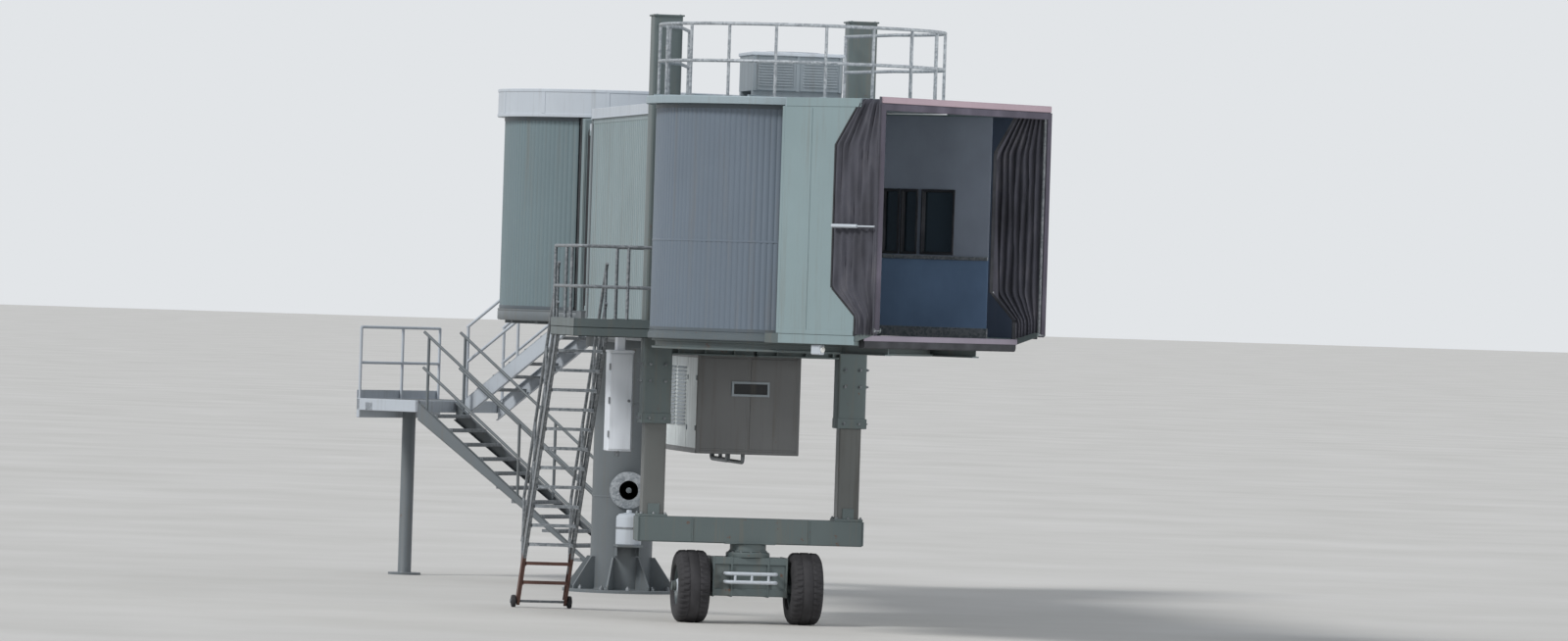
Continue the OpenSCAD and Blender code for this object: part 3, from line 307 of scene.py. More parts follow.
def piece(name, shape, finish, body, *stands_for, crease=32):
    """A shape as an object: its closed skins turned outwards, smooth but for creases, riding
    on a body and standing for the CAD nodes that it takes the place of."""
    points, faces = shape
    mesh = bpy.data.meshes.new(name)
    mesh.from_pydata(points.tolist(), [], [f for group in faces for f in group.tolist()])
    skin = bmesh.new()
    skin.from_mesh(mesh)
    bmesh.ops.recalc_face_normals(skin, faces=skin.faces)
    skin.to_mesh(mesh)
    skin.free()
    mesh.shade_smooth()
    mesh.set_sharp_from_angle(angle=math.radians(crease))
    mesh.materials.append(finish)
    made = bpy.data.objects.new(name, mesh)
    scene.collection.objects.link(made)
    if body:
        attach(made, body)
    if stands_for:
        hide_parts(*stands_for)
    return made


def paint(name, colour, rough=0.46, blotch=0.07, streak=0.14, chip=0.0,
          dirt=(112, 104, 92)):
    """Weathered paint on steel. Wide noise lightens and darkens the colour, noise squeezed to
    upright threads runs dust down it, a sharp-edged noise shows rust where it is chipped, and
    a fine noise gives the rolled coat its orange peel."""
    made, tree, shader = bare_material(name)
    colour = linear(*colour)
    shades = ramp(noise(tree, 1.1, detail=5), [
        (0.3, colour * (1 - blotch)), (0.5, colour), (0.72, np.clip(colour * (1 + blotch), 0, 1))])
    threads = noise(tree, 7.0, stretch=(1.6, 1.6, 0.07), detail=5, roughness=0.7)
    shown = mixed(ramp(threads, [(0.52, 0), (0.78, streak * 2.2)]), shades, linear(*dirt))
    if chip:
        spots = noise(tree, 9.0, detail=8, roughness=0.72)
        rust = ramp(spots, [(0.70 - chip, 0), (0.74 - chip, 0.85)])
        shown = mixed(rust, shown, linear(98, 66, 48))
    finished(shader, shown, threads, (0.3, 0.8), (rough - 0.06, rough + 0.16),
             noise(tree, 55.0, detail=2), 0.05)
    return made


def galvanise(name, light=1.0, dull=0.3):
    """Hot-dip zinc: flat crystals a few centimetres across, each a slightly different grey,
    dulled in wide patches."""
    made, tree, shader = bare_material(name)
    cells = node(tree, "ShaderNodeTexVoronoi", Scale=38.0)
    on_piece(tree, cells.inputs["Vector"])
    cell = cells.outputs["Color"]
    flakes = ramp(cell, [(0.2, light * linear(112, 117, 121)),
                         (0.8, light * linear(146, 150, 153))])
    grime = ramp(noise(tree, 3.0, detail=6), [(0.45, 0), (0.8, dull)])
    finished(shader, mixed(grime, flakes, linear(92, 88, 82)), cell, (0.2, 0.8), (0.5, 0.66),
             noise(tree, 120.0, detail=3), 0.1)
    shader.inputs["Metallic"].default_value = 0.35
    return made


steel_paint = paint("steel_paint", (104, 110, 113), streak=0.2, chip=0.05)
zinc = galvanise("zinc")
column = turned([(0.75, 0), (0.75, 0.036), (0.746, 0.04), (0.412, 0.04), (0.4, 0.055),
                 (0.4, 3.42), (0.412, 3.44), (0.646, 3.44), (0.65, 3.444), (0.65, 3.48)], steps=120)
gusset = moved(prism([(0.39, 0.04), (0.71, 0.04), (0.71, 0.085), (0.45, 0.46), (0.39, 0.46)],
                     -0.012, 0.012), UPRIGHT)
weld = turned([(0.399, -0.012), (0.4045, -0.008), (0.406, 0), (0.4045, 0.008), (0.399, 0.012)],
              steps=120)
piece("column", joined(column, round_about(gusset, 8, 22.5), spread(weld, zs=(1.24, 2.44))),
      steel_paint, "fixed", "rotunda_column")


def bolt(across, height, at=(0, 0, 0)):
    """A hexagon nut with its top corners drawn in, on a washer, and the end of its stud."""
    flat = across / math.sqrt(3)
    nut = turned([(flat, 0), (flat, 0.8 * height), (0.88 * flat, height)], steps=6)
    stud = turned([(0.3 * across, 0), (0.3 * across, 1.45 * height), (0.24 * across, 1.6 * height)],
                  steps=12)
    washer = turned([(0.62 * across, 0), (0.62 * across, 0.12 * height),
                     (0.6 * across, 0.15 * height)], steps=20)
    return moved(joined(nut, stud, washer), by=at)


piece("anchor_nuts", round_about(bolt(0.05, 0.032, (0.66, 0, 0.04)), 12), zinc, "fixed")

# Floor pan of the round room: a steel disc with a rolled rim over sixteen radial channels.
pan = turned([(1.655, 3.48), (1.69, 3.484), (1.7, 3.5), (1.7, 3.59), (1.694, 3.6), (1.7, 3.61),
              (1.7, 3.626), (1.696, 3.63)], steps=144)
channel = slab((0.66, -0.03, 3.442), (1.6, 0.03, 3.481), 0.003)
piece("round_floor", joined(pan, round_about(channel, 16, 11.25)), steel_paint, "fixed",
      "rotunda_floor")

# Roof of the round room: a plate behind a tall white fascia of curved sheets, with a drip
# edge below, a folded capping above and a cover strip over each of the twelve joints.
white_paint = paint("white_paint", (184, 190, 196), blotch=0.05)
fascia = turned([(1.6, 6.1), (1.775, 6.1), (1.78, 6.106), (1.78, 6.14), (1.772, 6.146),
                 (1.772, 6.418), (1.78, 6.424), (1.78, 6.452), (1.772, 6.46), (1.728, 6.46),
                 (1.72, 6.452), (1.72, 6.2)], steps=144)
strip = slab((1.768, -0.03, 6.146), (1.777, 0.03, 6.42), 0.002)
piece("round_roof", joined(fascia, round_about(strip, 12, 10)), white_paint, "fixed",
      "rotunda_roof")

# Corridor to the terminal, set at its own angle and cut off plainly at the wall. Its sides are
# folded steel sheet with upright flutes between a bottom and a top rail, painted blue grey.
slat_paint = paint("slat_paint", (101, 112, 123), blotch=0.05, streak=0.16)
TO_CORRIDOR = about_z(138)
FLOOR, TOP = 3.63, 6.1
CORRIDOR_START, CORRIDOR_END = 1.44, 3.9


def corridor_piece(name, shape, finish, *stands_for):
    """A piece drawn with its X along the corridor, away from the round room."""
    return piece(name, moved(shape, TO_CORRIDOR), finish, "fixed", *stands_for)


def fluted(start, stop, inside, outside, low, high, rail=0.08):
    """A wall of folded sheet between two rails. Seen from above its outside is a trapezoid
    wave: flat for 0.38 of a pitch, out by 20 mm over 0.12, flat again, and back."""
    waves = max(1, round((stop - start) / 0.15))
    sign = 1 if outside > inside else -1
    along = start + (stop - start) / waves * (
        np.arange(waves)[:, None] + np.array([0.02, 0.38, 0.5, 0.86])).ravel()
    out = outside + sign * 0.02 * np.tile([0, 0, 1, 1], waves)
    outline = [(start, inside), (start, outside), *zip(along, out), (stop, outside), (stop, inside)]
    face = outside + sign * 0.022
    return joined(prism(outline, low + rail - 0.01, high - rail + 0.01),
                  blocks(0.006, (start, inside, low, stop, face, low + rail),
                         (start, inside, high - rail, stop, face, high)))


DOOR_START, DOOR_WIDE, DOOR_HIGH = 2.25, 0.9, 2.1
corridor_piece("corridor_plain_side",
               fluted(CORRIDOR_START, CORRIDOR_END, -0.9, -0.96, FLOOR, TOP),
               slat_paint, "corridor_plain_wall")
corridor_piece("corridor_door_side",
               joined(fluted(CORRIDOR_START, DOOR_START, 0.9, 0.96, FLOOR, TOP),
                      fluted(DOOR_START + DOOR_WIDE, CORRIDOR_END, 0.9, 0.96, FLOOR, TOP),
                      slab((DOOR_START - 0.01, 0.9, FLOOR + DOOR_HIGH),
                           (DOOR_START + DOOR_WIDE + 0.01, 0.97, TOP))),
               slat_paint, "corridor_door_wall")

# Steel doors, drawn with the sill's left end at the origin and the outside towards +Y: a leaf
# with two pressed panels, three knuckle hinges, a lever handle on a plate, and a frame of
# folded angle.
door_leaf = joined(slab((0.004, -0.044, 0.01), (DOOR_WIDE - 0.004, 0, DOOR_HIGH - 0.004), 0.003),
                   slab((0.05, 0, 0.05), (DOOR_WIDE - 0.05, 0.006, 0.3), 0.002),
                   slab((0.1, 0, 0.42), (DOOR_WIDE - 0.1, 0.006, 0.95)))
door_frame = blocks(0.004, (-0.05, 0, 0, 0.004, 0.03, DOOR_HIGH + 0.05),
                    (DOOR_WIDE - 0.004, 0, 0, DOOR_WIDE + 0.05, 0.03, DOOR_HIGH + 0.05),
                    (-0.05, 0, DOOR_HIGH, DOOR_WIDE + 0.05, 0.03, DOOR_HIGH + 0.05))
knuckle = turned([(0.011, -0.05), (0.013, -0.048), (0.013, 0.048), (0.011, 0.05)], steps=16)
door_fittings = joined(copies(knuckle, [(DOOR_WIDE, 0.014, h) for h in (0.25, 1.05, 1.85)]),
                       slab((0.075, 0, 0.95), (0.125, 0.008, 1.17), 0.003),
                       moved(turned([(0.011, 0), (0.011, 0.05)], steps=16), ALONG_Y,
                             (0.1, 0, 1.08)),
                       slab((0.09, 0.04, 1.068), (0.22, 0.056, 1.092), 0.006))
for part, shape, finish, node_names in (("leaf", door_leaf, white_paint, ["egress_door"]),
                                        ("frame", door_frame, steel_paint, []),
                                        ("fittings", door_fittings, zinc, [])):
    corridor_piece(f"egress_door_{part}", moved(shape, by=(DOOR_START, 0.944, FLOOR)), finish,
                   *node_names)

# Roof of the corridor: a white box roof with a capping round it and three standing seams.
roof = joined(slab((1.5, -1.0, TOP), (CORRIDOR_END, 1.0, 6.326), 0.008),
              both(slab((1.5, 0.96, 6.29), (CORRIDOR_END - 0.004, 1.006, 6.33))),
              spread(slab((-0.012, -0.97, 6.32), (0.012, 0.97, 6.345)), xs=(2.2, 2.8, 3.4)))
corridor_piece("corridor_top", roof, white_paint, "corridor_roof")


# Egress stair from the corridor's door to the ground: folded channel stringers, open grating
# treads with a worn nosing, tube handrails bent at their ends, and one post under the turn.
def eased(corners, radius):
    """A line through corners with each inner one rounded: from radius before it to radius
    after it the line is the parabola that both straights touch."""
    c = np.asarray(corners, float)
    if len(c) < 3:
        return c
    before, after = c[:-2] - c[1:-1], c[2:] - c[1:-1]
    a, b = [c[1:-1] + leg * (np.minimum(radius, 0.45 * reach) / reach) for leg, reach in (
        (leg, np.linalg.norm(leg, axis=1)[:, None]) for leg in (before, after))]
    s = np.linspace(0, 1, 6)[None, :, None]
    bends = (1 - s) ** 2 * a[:, None] + 2 * s * (1 - s) * c[1:-1][:, None] + s ** 2 * b[:, None]
    return np.concatenate([c[:1], bends.reshape(-1, 3), c[-1:]])


def tube(corners, radius, bend=0.08, sides=12, plane=None):
    """A round tube along a line. At each point the ring stands across the mean direction,
    turned so that one spoke stays square to the normal of the plane that the line lies in."""
    path = eased(corners, bend)
    if plane is None:
        flattest = np.ptp(path, axis=0)[[1, 0, 2]].argmin()
        plane = np.eye(3)[[1, 0, 2][flattest]]
    run = np.gradient(path, axis=0)
    run /= np.linalg.norm(run, axis=1)[:, None]
    side = np.cross(np.broadcast_to(np.asarray(plane, float), run.shape), run)
    side /= np.linalg.norm(side, axis=1)[:, None]
    top = np.cross(run, side)
    a = np.linspace(0, 2 * math.pi, sides, endpoint=False)[None, :, None]
    return lofted(path[:, None] + radius * (np.cos(a) * side[:, None] + np.sin(a) * top[:, None]))


def tubes(radius, *lines, **how):
    """Tubes of one radius, one along each line."""
    return joined(*[tube(line, radius, **how) for line in lines])


def box(x0, y0, z0, x1, y1, z1):
    """A plain flat bar, its outline carried up."""
    return prism([(x0, y0), (x1, y0), (x1, y1), (x0, y1)], z0, z1)


def grating(x0, y0, z0, x1, y1, z1):
    """An open grating panel: a frame of flat bars, thin upright bars across it 34 mm apart,
    and a round rod over each hand's breadth of them."""
    bars = np.linspace(0, x1 - x0, max(2, round((x1 - x0) / 0.034)) + 1)[1:-1]
    rods = np.linspace(0, y1 - y0, 4 + int((x1 - x0) / 0.2))[1:-1]
    return joined(blocks(0.001, (x0, y0, z0, x1, y0 + 0.006, z1), (x0, y1 - 0.006, z0, x1, y1, z1),
                         (x0, y0, z0, x0 + 0.006, y1, z1), (x1 - 0.006, y0, z0, x1, y1, z1)),
                  spread(box(x0 - 0.002, y0, z0 + 0.004, x0 + 0.002, y1, z1 - 0.001), xs=bars),
                  spread(box(x0, y0 - 0.003, z1 - 0.008, x1, y0 + 0.003, z1 - 0.002), ys=rods))


RISER, GOING, FLIGHT, RAIL = 3.63 / 20, 0.25, 0.9, 0.95


def stringers(risers):
    """Two folded channels falling along +Y: a web with a flange top and bottom, the profile
    carried down the slope."""
    ends = ((0, 0), (risers * GOING, -risers * RISER))
    return joined(*[
        lofted([[(x, y, z + high), (x + into * wide, y, z + high), (x + into * wide, y, z + low),
                 (x, y, z + low)] for y, z in ends])
        for x, into in ((0, 1), (FLIGHT, -1))
        for wide, high, low in ((0.008, -0.02, -0.26), (0.05, -0.02, -0.03), (0.05, -0.25, -0.26))])


def treads(risers):
    """Grating treads, one riser apart, each with a folded nosing at its front edge."""
    one = joined(grating(0.05, 0.015, -0.04, FLIGHT - 0.05, 0.275, 0),
                 slab((0.05, 0.255, -0.045), (FLIGHT - 0.05, 0.285, 0.002), 0.005))
    return copies(one, [(0, (step - 1) * GOING, -step * RISER) for step in range(1, risers)])


def flight_rails(risers):
    """A handrail over a knee rail down both sides, on three upright posts with a collar."""
    run, fall = risers * GOING, risers * RISER
    collar = turned([(0.022, 0), (0.024, 0.006), (0.022, 0.012)], steps=16)
    side = joined(
        tubes(0.02, *[[(0, y, high - fall / run * y) for y in (0.05, run - 0.05)]
                      for high in (RAIL, RAIL / 2)],
              *[[(0, run * t, -fall * t - 0.06), (0, run * t, RAIL - fall * t)]
                for t in (0.04, 0.5, 0.96)]),
        copies(collar, [(0, run * t, RAIL - fall * t - 0.006) for t in (0.04, 0.5, 0.96)]))
    return spread(side, xs=(0.025, FLIGHT - 0.025))


TOP_X, TOP_Y0, TOP_Y1 = 2.2, 0.96, 2.36
TURN_X = TOP_X + FLIGHT
landing_posts = (TOP_Y0 + 0.06, 1.63, TOP_Y1 - 0.04)
side_rails = joined(
    tubes(0.02, *[[(0, TOP_Y0 + 0.06, h), (0, TOP_Y1 - 0.04, h)] for h in (RAIL / 2, RAIL)],
          *[[(0, y, -0.04), (0, y, RAIL)] for y in landing_posts]),
    slab((-0.004, TOP_Y0, 0), (0.004, TOP_Y1, 0.11), 0.001))
deck_frame = joined(spread(slab((TOP_X, TOP_Y0, 3.37), (TOP_X + 0.05, TOP_Y1, FLOOR), 0.006),
                           xs=(0, FLIGHT + 0.05)),
                    spread(slab((TOP_X + 0.05, -0.03, 3.5), (TURN_X + 0.05, 0.03, 3.59)),
                           ys=(TOP_Y0 + 0.04, 1.66, TOP_Y1 - 0.04)))
corridor_piece("egress_top_landing",
               joined(deck_frame, spread(side_rails, (TOP_X + 0.025, TURN_X + 0.075), zs=(FLOOR,))),
               white_paint, "egress_landing")
corridor_piece("egress_top_grating",
               grating(TOP_X + 0.05, TOP_Y0, 3.59, TURN_X + 0.05, TOP_Y1, 3.628), zinc)
upper = (TOP_X, TOP_Y1, FLOOR)
corridor_piece("egress_upper_stringers", moved(joined(stringers(7), flight_rails(7)), by=upper),
               white_paint, "egress_upper_flight")
corridor_piece("egress_upper_treads", moved(treads(7), by=upper), zinc)

MID_Z, MID_Y0, MID_Y1 = FLOOR - 7 * RISER, 2.36 + 7 * GOING, 3.36 + 7 * GOING
LOW_X = TOP_X - FLIGHT - 0.1
post = turned([(0.22, 0), (0.22, 0.026), (0.216, 0.03), (0.095, 0.03), (0.09, 0.04),
               (0.09, MID_Z - 0.09), (0.16, MID_Z - 0.07), (0.16, MID_Z - 0.055)],
              ((LOW_X + TURN_X) / 2, MID_Y1 - 0.2, 0), steps=48)
rail_y = MID_Y1 - 0.025
turn_rails = tubes(
    0.02, *[[(LOW_X + 0.03, rail_y, MID_Z + h), (TURN_X - 0.03, rail_y, MID_Z + h)]
            for h in (RAIL / 2, RAIL)],
    *[[(x, rail_y, MID_Z - 0.04), (x, rail_y, MID_Z + RAIL)]
      for x in (LOW_X + 0.03, TOP_X, TURN_X - 0.03)])
under, flush = MID_Z - 0.16, MID_Z - 0.002
turn = joined(blocks(0.006, (LOW_X, MID_Y1 - 0.05, MID_Z - 0.26, TURN_X, MID_Y1, MID_Z + 0.002),
                     (LOW_X, MID_Y0, under, TURN_X, MID_Y0 + 0.05, flush),
                     (LOW_X, MID_Y0, under, LOW_X + 0.05, MID_Y1, flush),
                     (TURN_X - 0.05, MID_Y0, under, TURN_X, MID_Y1, flush)),
              slab((LOW_X, MID_Y1 - 0.26, under), (TURN_X, MID_Y1 - 0.14, MID_Z - 0.05)),
              slab((LOW_X, MID_Y1 - 0.004, MID_Z), (TURN_X, MID_Y1, MID_Z + 0.11), 0.001),
              turn_rails)
corridor_piece("egress_turn_landing", turn, white_paint, "egress_mid_landing")
# The post takes grey paint, darker than the white landing above it: painted shade.
corridor_piece("egress_turn_post", post, steel_paint)
corridor_piece("egress_turn_grating", grating(LOW_X + 0.05, MID_Y0 + 0.05, MID_Z - 0.04,
                                              TURN_X - 0.05, MID_Y1 - 0.05, MID_Z), zinc)

HALF_TURN, lower = np.diag([-1, -1, 1]), (LOW_X + FLIGHT, MID_Y0, MID_Z)
foot = spread(slab((0, 13 * GOING - 0.12, -MID_Z), (0.1, 13 * GOING, 0.012 - MID_Z), 0.003),
              xs=(-0.02, FLIGHT - 0.08))
points, faces = joined(stringers(13), flight_rails(13), foot)
points[:, 2] = np.maximum(points[:, 2], -MID_Z)  # nothing of the flight goes below the ground
corridor_piece("egress_lower_stringers", moved((points, faces), HALF_TURN, lower), steel_paint,
               "egress_lower_flight")
corridor_piece("egress_lower_treads", moved(treads(13), HALF_TURN, lower), zinc)


# Slat curtains of the round room: narrow rolled steel slats, hooked edge to edge, that wind up
# on a barrel at one side as the room turns. A light rail holds their lower ends.
def slats(radius, start, stop, low, high, pitch):
    """A curtain on a radius, as an outline seen from above carried up. Each slat is a shallow
    arch: its outside stands out by 8 mm times the root of a half sine, its back is plain."""
    count = max(4, round(math.radians(stop - start) * radius / pitch))
    share = np.linspace(0, 1, 5, endpoint=False)
    place = np.append((np.arange(count)[:, None] + share).ravel() / count, 1)
    bulge = np.append(np.tile(np.sqrt(np.sin(math.pi * share) + 1e-4), count) * 0.008, 0)
    angle = np.radians(start + (stop - start) * place)
    ring = np.stack([np.cos(angle), np.sin(angle)], -1)
    return prism(np.concatenate([ring * (radius + bulge)[:, None],
                                 (ring * (radius - 0.012))[::-1]]), low, high)


def arc_bar(start, stop, inner, outer, low, high):
    """A bar bent to a radius, with its long edges drawn in by 4 mm: a loop round the bar's
    section at each angle."""
    e = 0.004
    return lofted(around([(inner, low + e), (inner + e, low), (outer - e, low), (outer, low + e),
                          (outer, high - e), (outer - e, high), (inner + e, high),
                          (inner, high - e)], np.linspace(start, stop, 60)))


def curtain_piece(name, shape, finish, centre, radius, start, stop, low, bodies, *stands_for):
    """A piece moved out to centre, riding on no body, with its placing baked into its points. The
    bodies it is given are not used."""
    made = piece(name, moved(shape, by=centre), finish, None, *stands_for)
    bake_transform(made)


def curtain(name, centre, radius, start, stop, low, high, bodies, node_name, finish, pitch=0.07):
    """Slats with a rail at the bottom and a track at the top."""
    where = (centre, radius, start, stop, low, bodies)
    curtain_piece(f"{name}_slats", slats(radius, start, stop, low + 0.035, high - 0.03, pitch),
                  finish, *where, node_name)
    curtain_piece(f"{name}_rail", joined(
        arc_bar(start, stop, radius - 0.016, radius + 0.012, low + 0.0005, low + 0.042),
        arc_bar(start, stop, radius - 0.018, radius + 0.014, high - 0.05, high - 0.0005)),
        rail_paint, *where)


rail_paint = paint("curtain_rail_paint", (80, 89, 95), streak=0.2)
room_slat_paint = paint("room_slat_paint", (106, 122, 126), blotch=0.05, streak=0.18)
curtain("round_left_curtain", (0, 0, 0), 1.67, -185.7, -33.6, FLOOR, TOP, ("fixed", "swing"),
        "rotunda_left_curtain", room_slat_paint)
curtain("round_right_curtain", (0, 0, 0), 1.67, 33.6, 101.7, FLOOR, TOP, ("swing", "fixed"),
        "rotunda_right_curtain", room_slat_paint)

# Swing frame: collar, arms and sill of welded plate that carry the tunnels round the column,
# with the collar's bolted split flange and the pins' end plates.
pin_cap = turned([(0.055, 0), (0.055, 0.012), (0.05, 0.016)], steps=24)
piece("swing_bolts", joined(round_about(bolt(0.036, 0.022, (0.47, 0, 3.42)), 12, 15),
                            *[moved(pin_cap, ALONG_Y, (1.96, y, 3.555)) for y in (0.502, -0.518)]),
      zinc, "swing")

# Throat: the short fixed neck between the round room and the tunnels, of flat painted sheet
# with a folded edge round its front.
tunnel_paint = paint("grey_green_paint", (131, 145, 147), blotch=0.06,
                     streak=0.2)
piece("throat_edges", joined(both(slab((1.872, 0.895, FLOOR), (1.904, 0.925, 6.05))),
                             slab((1.872, -0.925, 6.045), (1.904, 0.925, 6.08))),
      tunnel_paint, "swing")


# Bellows over the pitch hinge: black rubber sheet in five folds, clamped to the throat and to
# the inner tunnel, over both sides and the top.
def rubber_material(name, colour, rough=0.72, grain=90.0):
    """Weathered rubber: a dusty bloom in wide noise over a fine grain."""
    made, tree, shader = bare_material(name)
    bloom, dark = noise(tree, 3.5, detail=6), linear(*colour)
    finished(shader, ramp(bloom, [(0.38, dark), (0.75, dark * 2.0 + 0.012)]), bloom, (0.3, 0.8),
             (rough - 0.08, rough + 0.12), noise(tree, grain, detail=4), 0.25, 0.004)
    return made


rubber = rubber_material("bellows_rubber", (38, 39, 42))
piece("throat_seals", both(slab((1.38, 0.9, 3.642), (1.53, 0.908, 6.09), 0.001)), rubber, "swing")


def folded_skin(edge, normal, travel, folds, depth):
    """A folded sheet from an edge line across travel, as a closed skin of two sides. A point
    is the edge point, plus a share of the way across, plus the edge's outward normal times a
    rounded zigzag: depth times the arcsine wave of that share. The second side lies 4 mm
    further in."""
    share = np.linspace(0, 1, folds * 8 + 1)
    wave = depth * (0.5 - np.arcsin(0.96 * np.cos(2 * math.pi * folds * share)) / math.pi / 0.82)
    outer = edge + share[:, None, None] * np.asarray(travel) + wave[:, None, None] * normal
    return lofted(np.concatenate([outer, (outer - 0.004 * normal)[:, ::-1]], 1))


def arch(half, low, top, corner=0.06, steps=7):
    """A line up one side, over the top and down the other in the YZ plane, with rounded
    corners, and the outward normal at each point."""
    a = np.radians(np.linspace(0, 90, steps))
    quarter = np.column_stack([np.cos(a), np.sin(a)])
    next_quarter = np.column_stack([-np.sin(a), np.cos(a)])
    middle = (low + top) / 2
    line = np.concatenate([[[half, low], [half, middle]],
                           [half - corner, top - corner] + corner * quarter,
                           [corner - half, top - corner] + corner * next_quarter,
                           [[-half, middle], [-half, low]]])
    out = np.concatenate([[[1, 0]] * 2, quarter, next_quarter, [[-1, 0]] * 2])
    return [np.column_stack([np.zeros(len(flat)), flat]) for flat in (line, out)]


BELLOWS_START, BELLOWS_LONG = 1.9025, 0.155
line, out = arch(0.835, 3.645, 5.955)
bellows = piece("hinge_folds", folded_skin(line + (BELLOWS_START, 0, 0), out, (BELLOWS_LONG, 0, 0),
                                           5, 0.045),
                rubber, None, "hinge_bellows", crease=60)
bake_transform(bellows)

# Inner tunnel: fluted steel sides under a white roof, on a deep floor pan with rubber matting.
matting = rubber_material("matting", (62, 66, 72), rough=0.85, grain=60.0)
wall = fluted(2.06, 10.3, 0.81, 0.86, FLOOR, 5.93, rail=0.07)
for hand, mirror in HANDS:
    piece(f"inner_side_{hand}", moved(wall, mirror), tunnel_paint, "inner_tunnel",
          f"inner_{hand}_wall")
piece("inner_matting", joined(slab((2.1, -0.8, 3.6302), (10.28, 0.8, 3.634), 0.001),
                              spread(slab((-0.004, -0.79, 3.632), (0.004, 0.79, 3.638), 0.001),
                                     np.arange(2.14, 10.26, 0.06))),
      matting, "inner_tunnel")
seam = slab((-0.015, -0.855, 5.998), (0.015, 0.855, 6.014))
piece("inner_roof_seams", joined(spread(seam, np.arange(2.3, 10.0, 1.2)),
                                 both(slab((2.06, 0.856, 5.92), (10.29, 0.88, 6.012), 0.003))),
      white_paint, "inner_tunnel")

# Outer tunnel: as the inner one, a size larger. Its sides are fluted up to the lift columns
# and plain beside the service landing, with a folded post where the cab's curtain starts.
SILL_Z, OUTER_TOP, DOOR_X = 3.47, 6.08, 10.45
FLUTES_END, POST_X, IN, OUT = 9.9, 11.558, 0.94, 1.0
flutes = fluted(3.3, FLUTES_END, IN, OUT, SILL_Z, OUTER_TOP, rail=0.09)
trim = joined(spread(slab((-0.025, 0.999, 3.5), (0.025, 1.008, 6.05), 0.003), (10.0, 11.42)),
              slab((11.556, 0.92, SILL_Z), (11.638, 1.02, OUTER_TOP), 0.008),
              slab((11.6, 1.0, 3.5), (11.655, 1.02, 6.05)))
collar = slab((3.27, 0.925, 3.45), (3.345, 1.035, 6.1), 0.01)


def belts(inner, outer):
    """The two flat bars along a plain end, at its foot and at its top."""
    return blocks(0.003, (FLUTES_END, inner, SILL_Z, 11.5, outer, 3.56),
                  (FLUTES_END, inner, 5.99, 11.5, outer, OUTER_TOP))


around_door = blocks(0.004, (FLUTES_END, IN, SILL_Z, DOOR_X, OUT, OUTER_TOP),
                     (DOOR_X + DOOR_WIDE, IN, SILL_Z, POST_X, OUT, OUTER_TOP),
                     (DOOR_X - 0.01, IN, 5.59, DOOR_X + 0.91, OUT, OUTER_TOP),
                     (DOOR_X - 0.01, IN, SILL_Z, DOOR_X + 0.91, OUT, 3.49))
plain_end = {"right": joined(slab((FLUTES_END, IN, SILL_Z), (POST_X, OUT, OUTER_TOP)),
                             belts(0.999, 1.012)),
             "left": joined(around_door, belts(0.995, 1.008))}
for hand, mirror in HANDS:
    piece(f"outer_side_{hand}", moved(joined(flutes, plain_end[hand], trim), mirror), tunnel_paint,
          "outer_tunnel", f"outer_{hand}_wall")
    piece(f"outer_collar_{hand}", moved(collar, mirror), steel_paint, "outer_tunnel")

seam = slab((-0.016, -1.0, 6.166), (0.016, 1.0, 6.188), 0.005)
gutters = [joined(slab((start, 1.01, 6.05), (stop, 1.038, 6.182)),
                  slab((start, 0.998, 6.05), (stop, 1.05, 6.064), 0.003))
           for start, stop in ((3.29, 10.028), (10.372, 11.5))]
piece("outer_roof_seams", joined(spread(seam, np.arange(3.5, 11.4, 1.2)), both(joined(*gutters)),
                                 slab((3.285, -1.03, 6.06), (3.31, 1.03, 6.185), 0.005)),
      white_paint, "outer_tunnel")
beam = joined(slab((-0.05, -0.97, 3.33), (0.05, 0.97, 3.338), 0.002),
              slab((-0.004, -0.95, 3.335), (0.004, 0.95, 3.372), 0.001))
piece("outer_floor_beams", joined(spread(beam, np.arange(3.6, 6.6, 0.75)),
                                  both(slab((3.4, 0.87, 3.3), (11.2, 0.93, 3.371)))),
      steel_paint, "outer_tunnel")
piece("outer_matting", joined(slab((10.98, -0.91, 3.4702), (11.34, 0.91, 3.474), 0.001),
                              spread(slab((-0.004, -0.9, 3.472), (0.004, 0.9, 3.478), 0.001),
                                     np.arange(11.02, 11.32, 0.06))),
      matting, "outer_tunnel")


# Service door: a steel leaf with a tall narrow window in a rubber gasket.
def dress(finish, *names):
    """CAD nodes whose own shape shows take their finish."""
    for name in names:
        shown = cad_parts[name]
        shown.data.materials.clear()
        shown.data.materials.append(finish)


def border(x0, x1, z0, z1, y, wide, proud):
    """A picture frame of four mitred bars round an upright opening that faces along Y: one
    rectangular loop at each corner, the last joined to the first."""
    section = ((0, 0), (wide, 0), (wide * 0.9, proud), (wide * 0.1, proud))
    return lofted([[(x + sx * w, y + p, z + sz * w) for w, p in section] for sx, sz, x, z in (
        (-1, -1, x0, z0), (1, -1, x1, z0), (1, 1, x1, z1), (-1, 1, x0, z1), (-1, -1, x0, z0))],
        capped=False)


# Dark tinted glass: smooth, with a faint film of dust that makes it duller in patches.
glass, tree, shader = bare_material("tinted_glass")
film, tint = noise(tree, 2.4, detail=6), linear(38, 50, 58)
finished(shader, ramp(film, [(0.35, tint), (0.8, tint * 1.5)]), film, (0.35, 0.8), (0.05, 0.2))
shader.inputs["IOR"].default_value = 1.5
shader.inputs["Transmission Weight"].default_value = 0.35

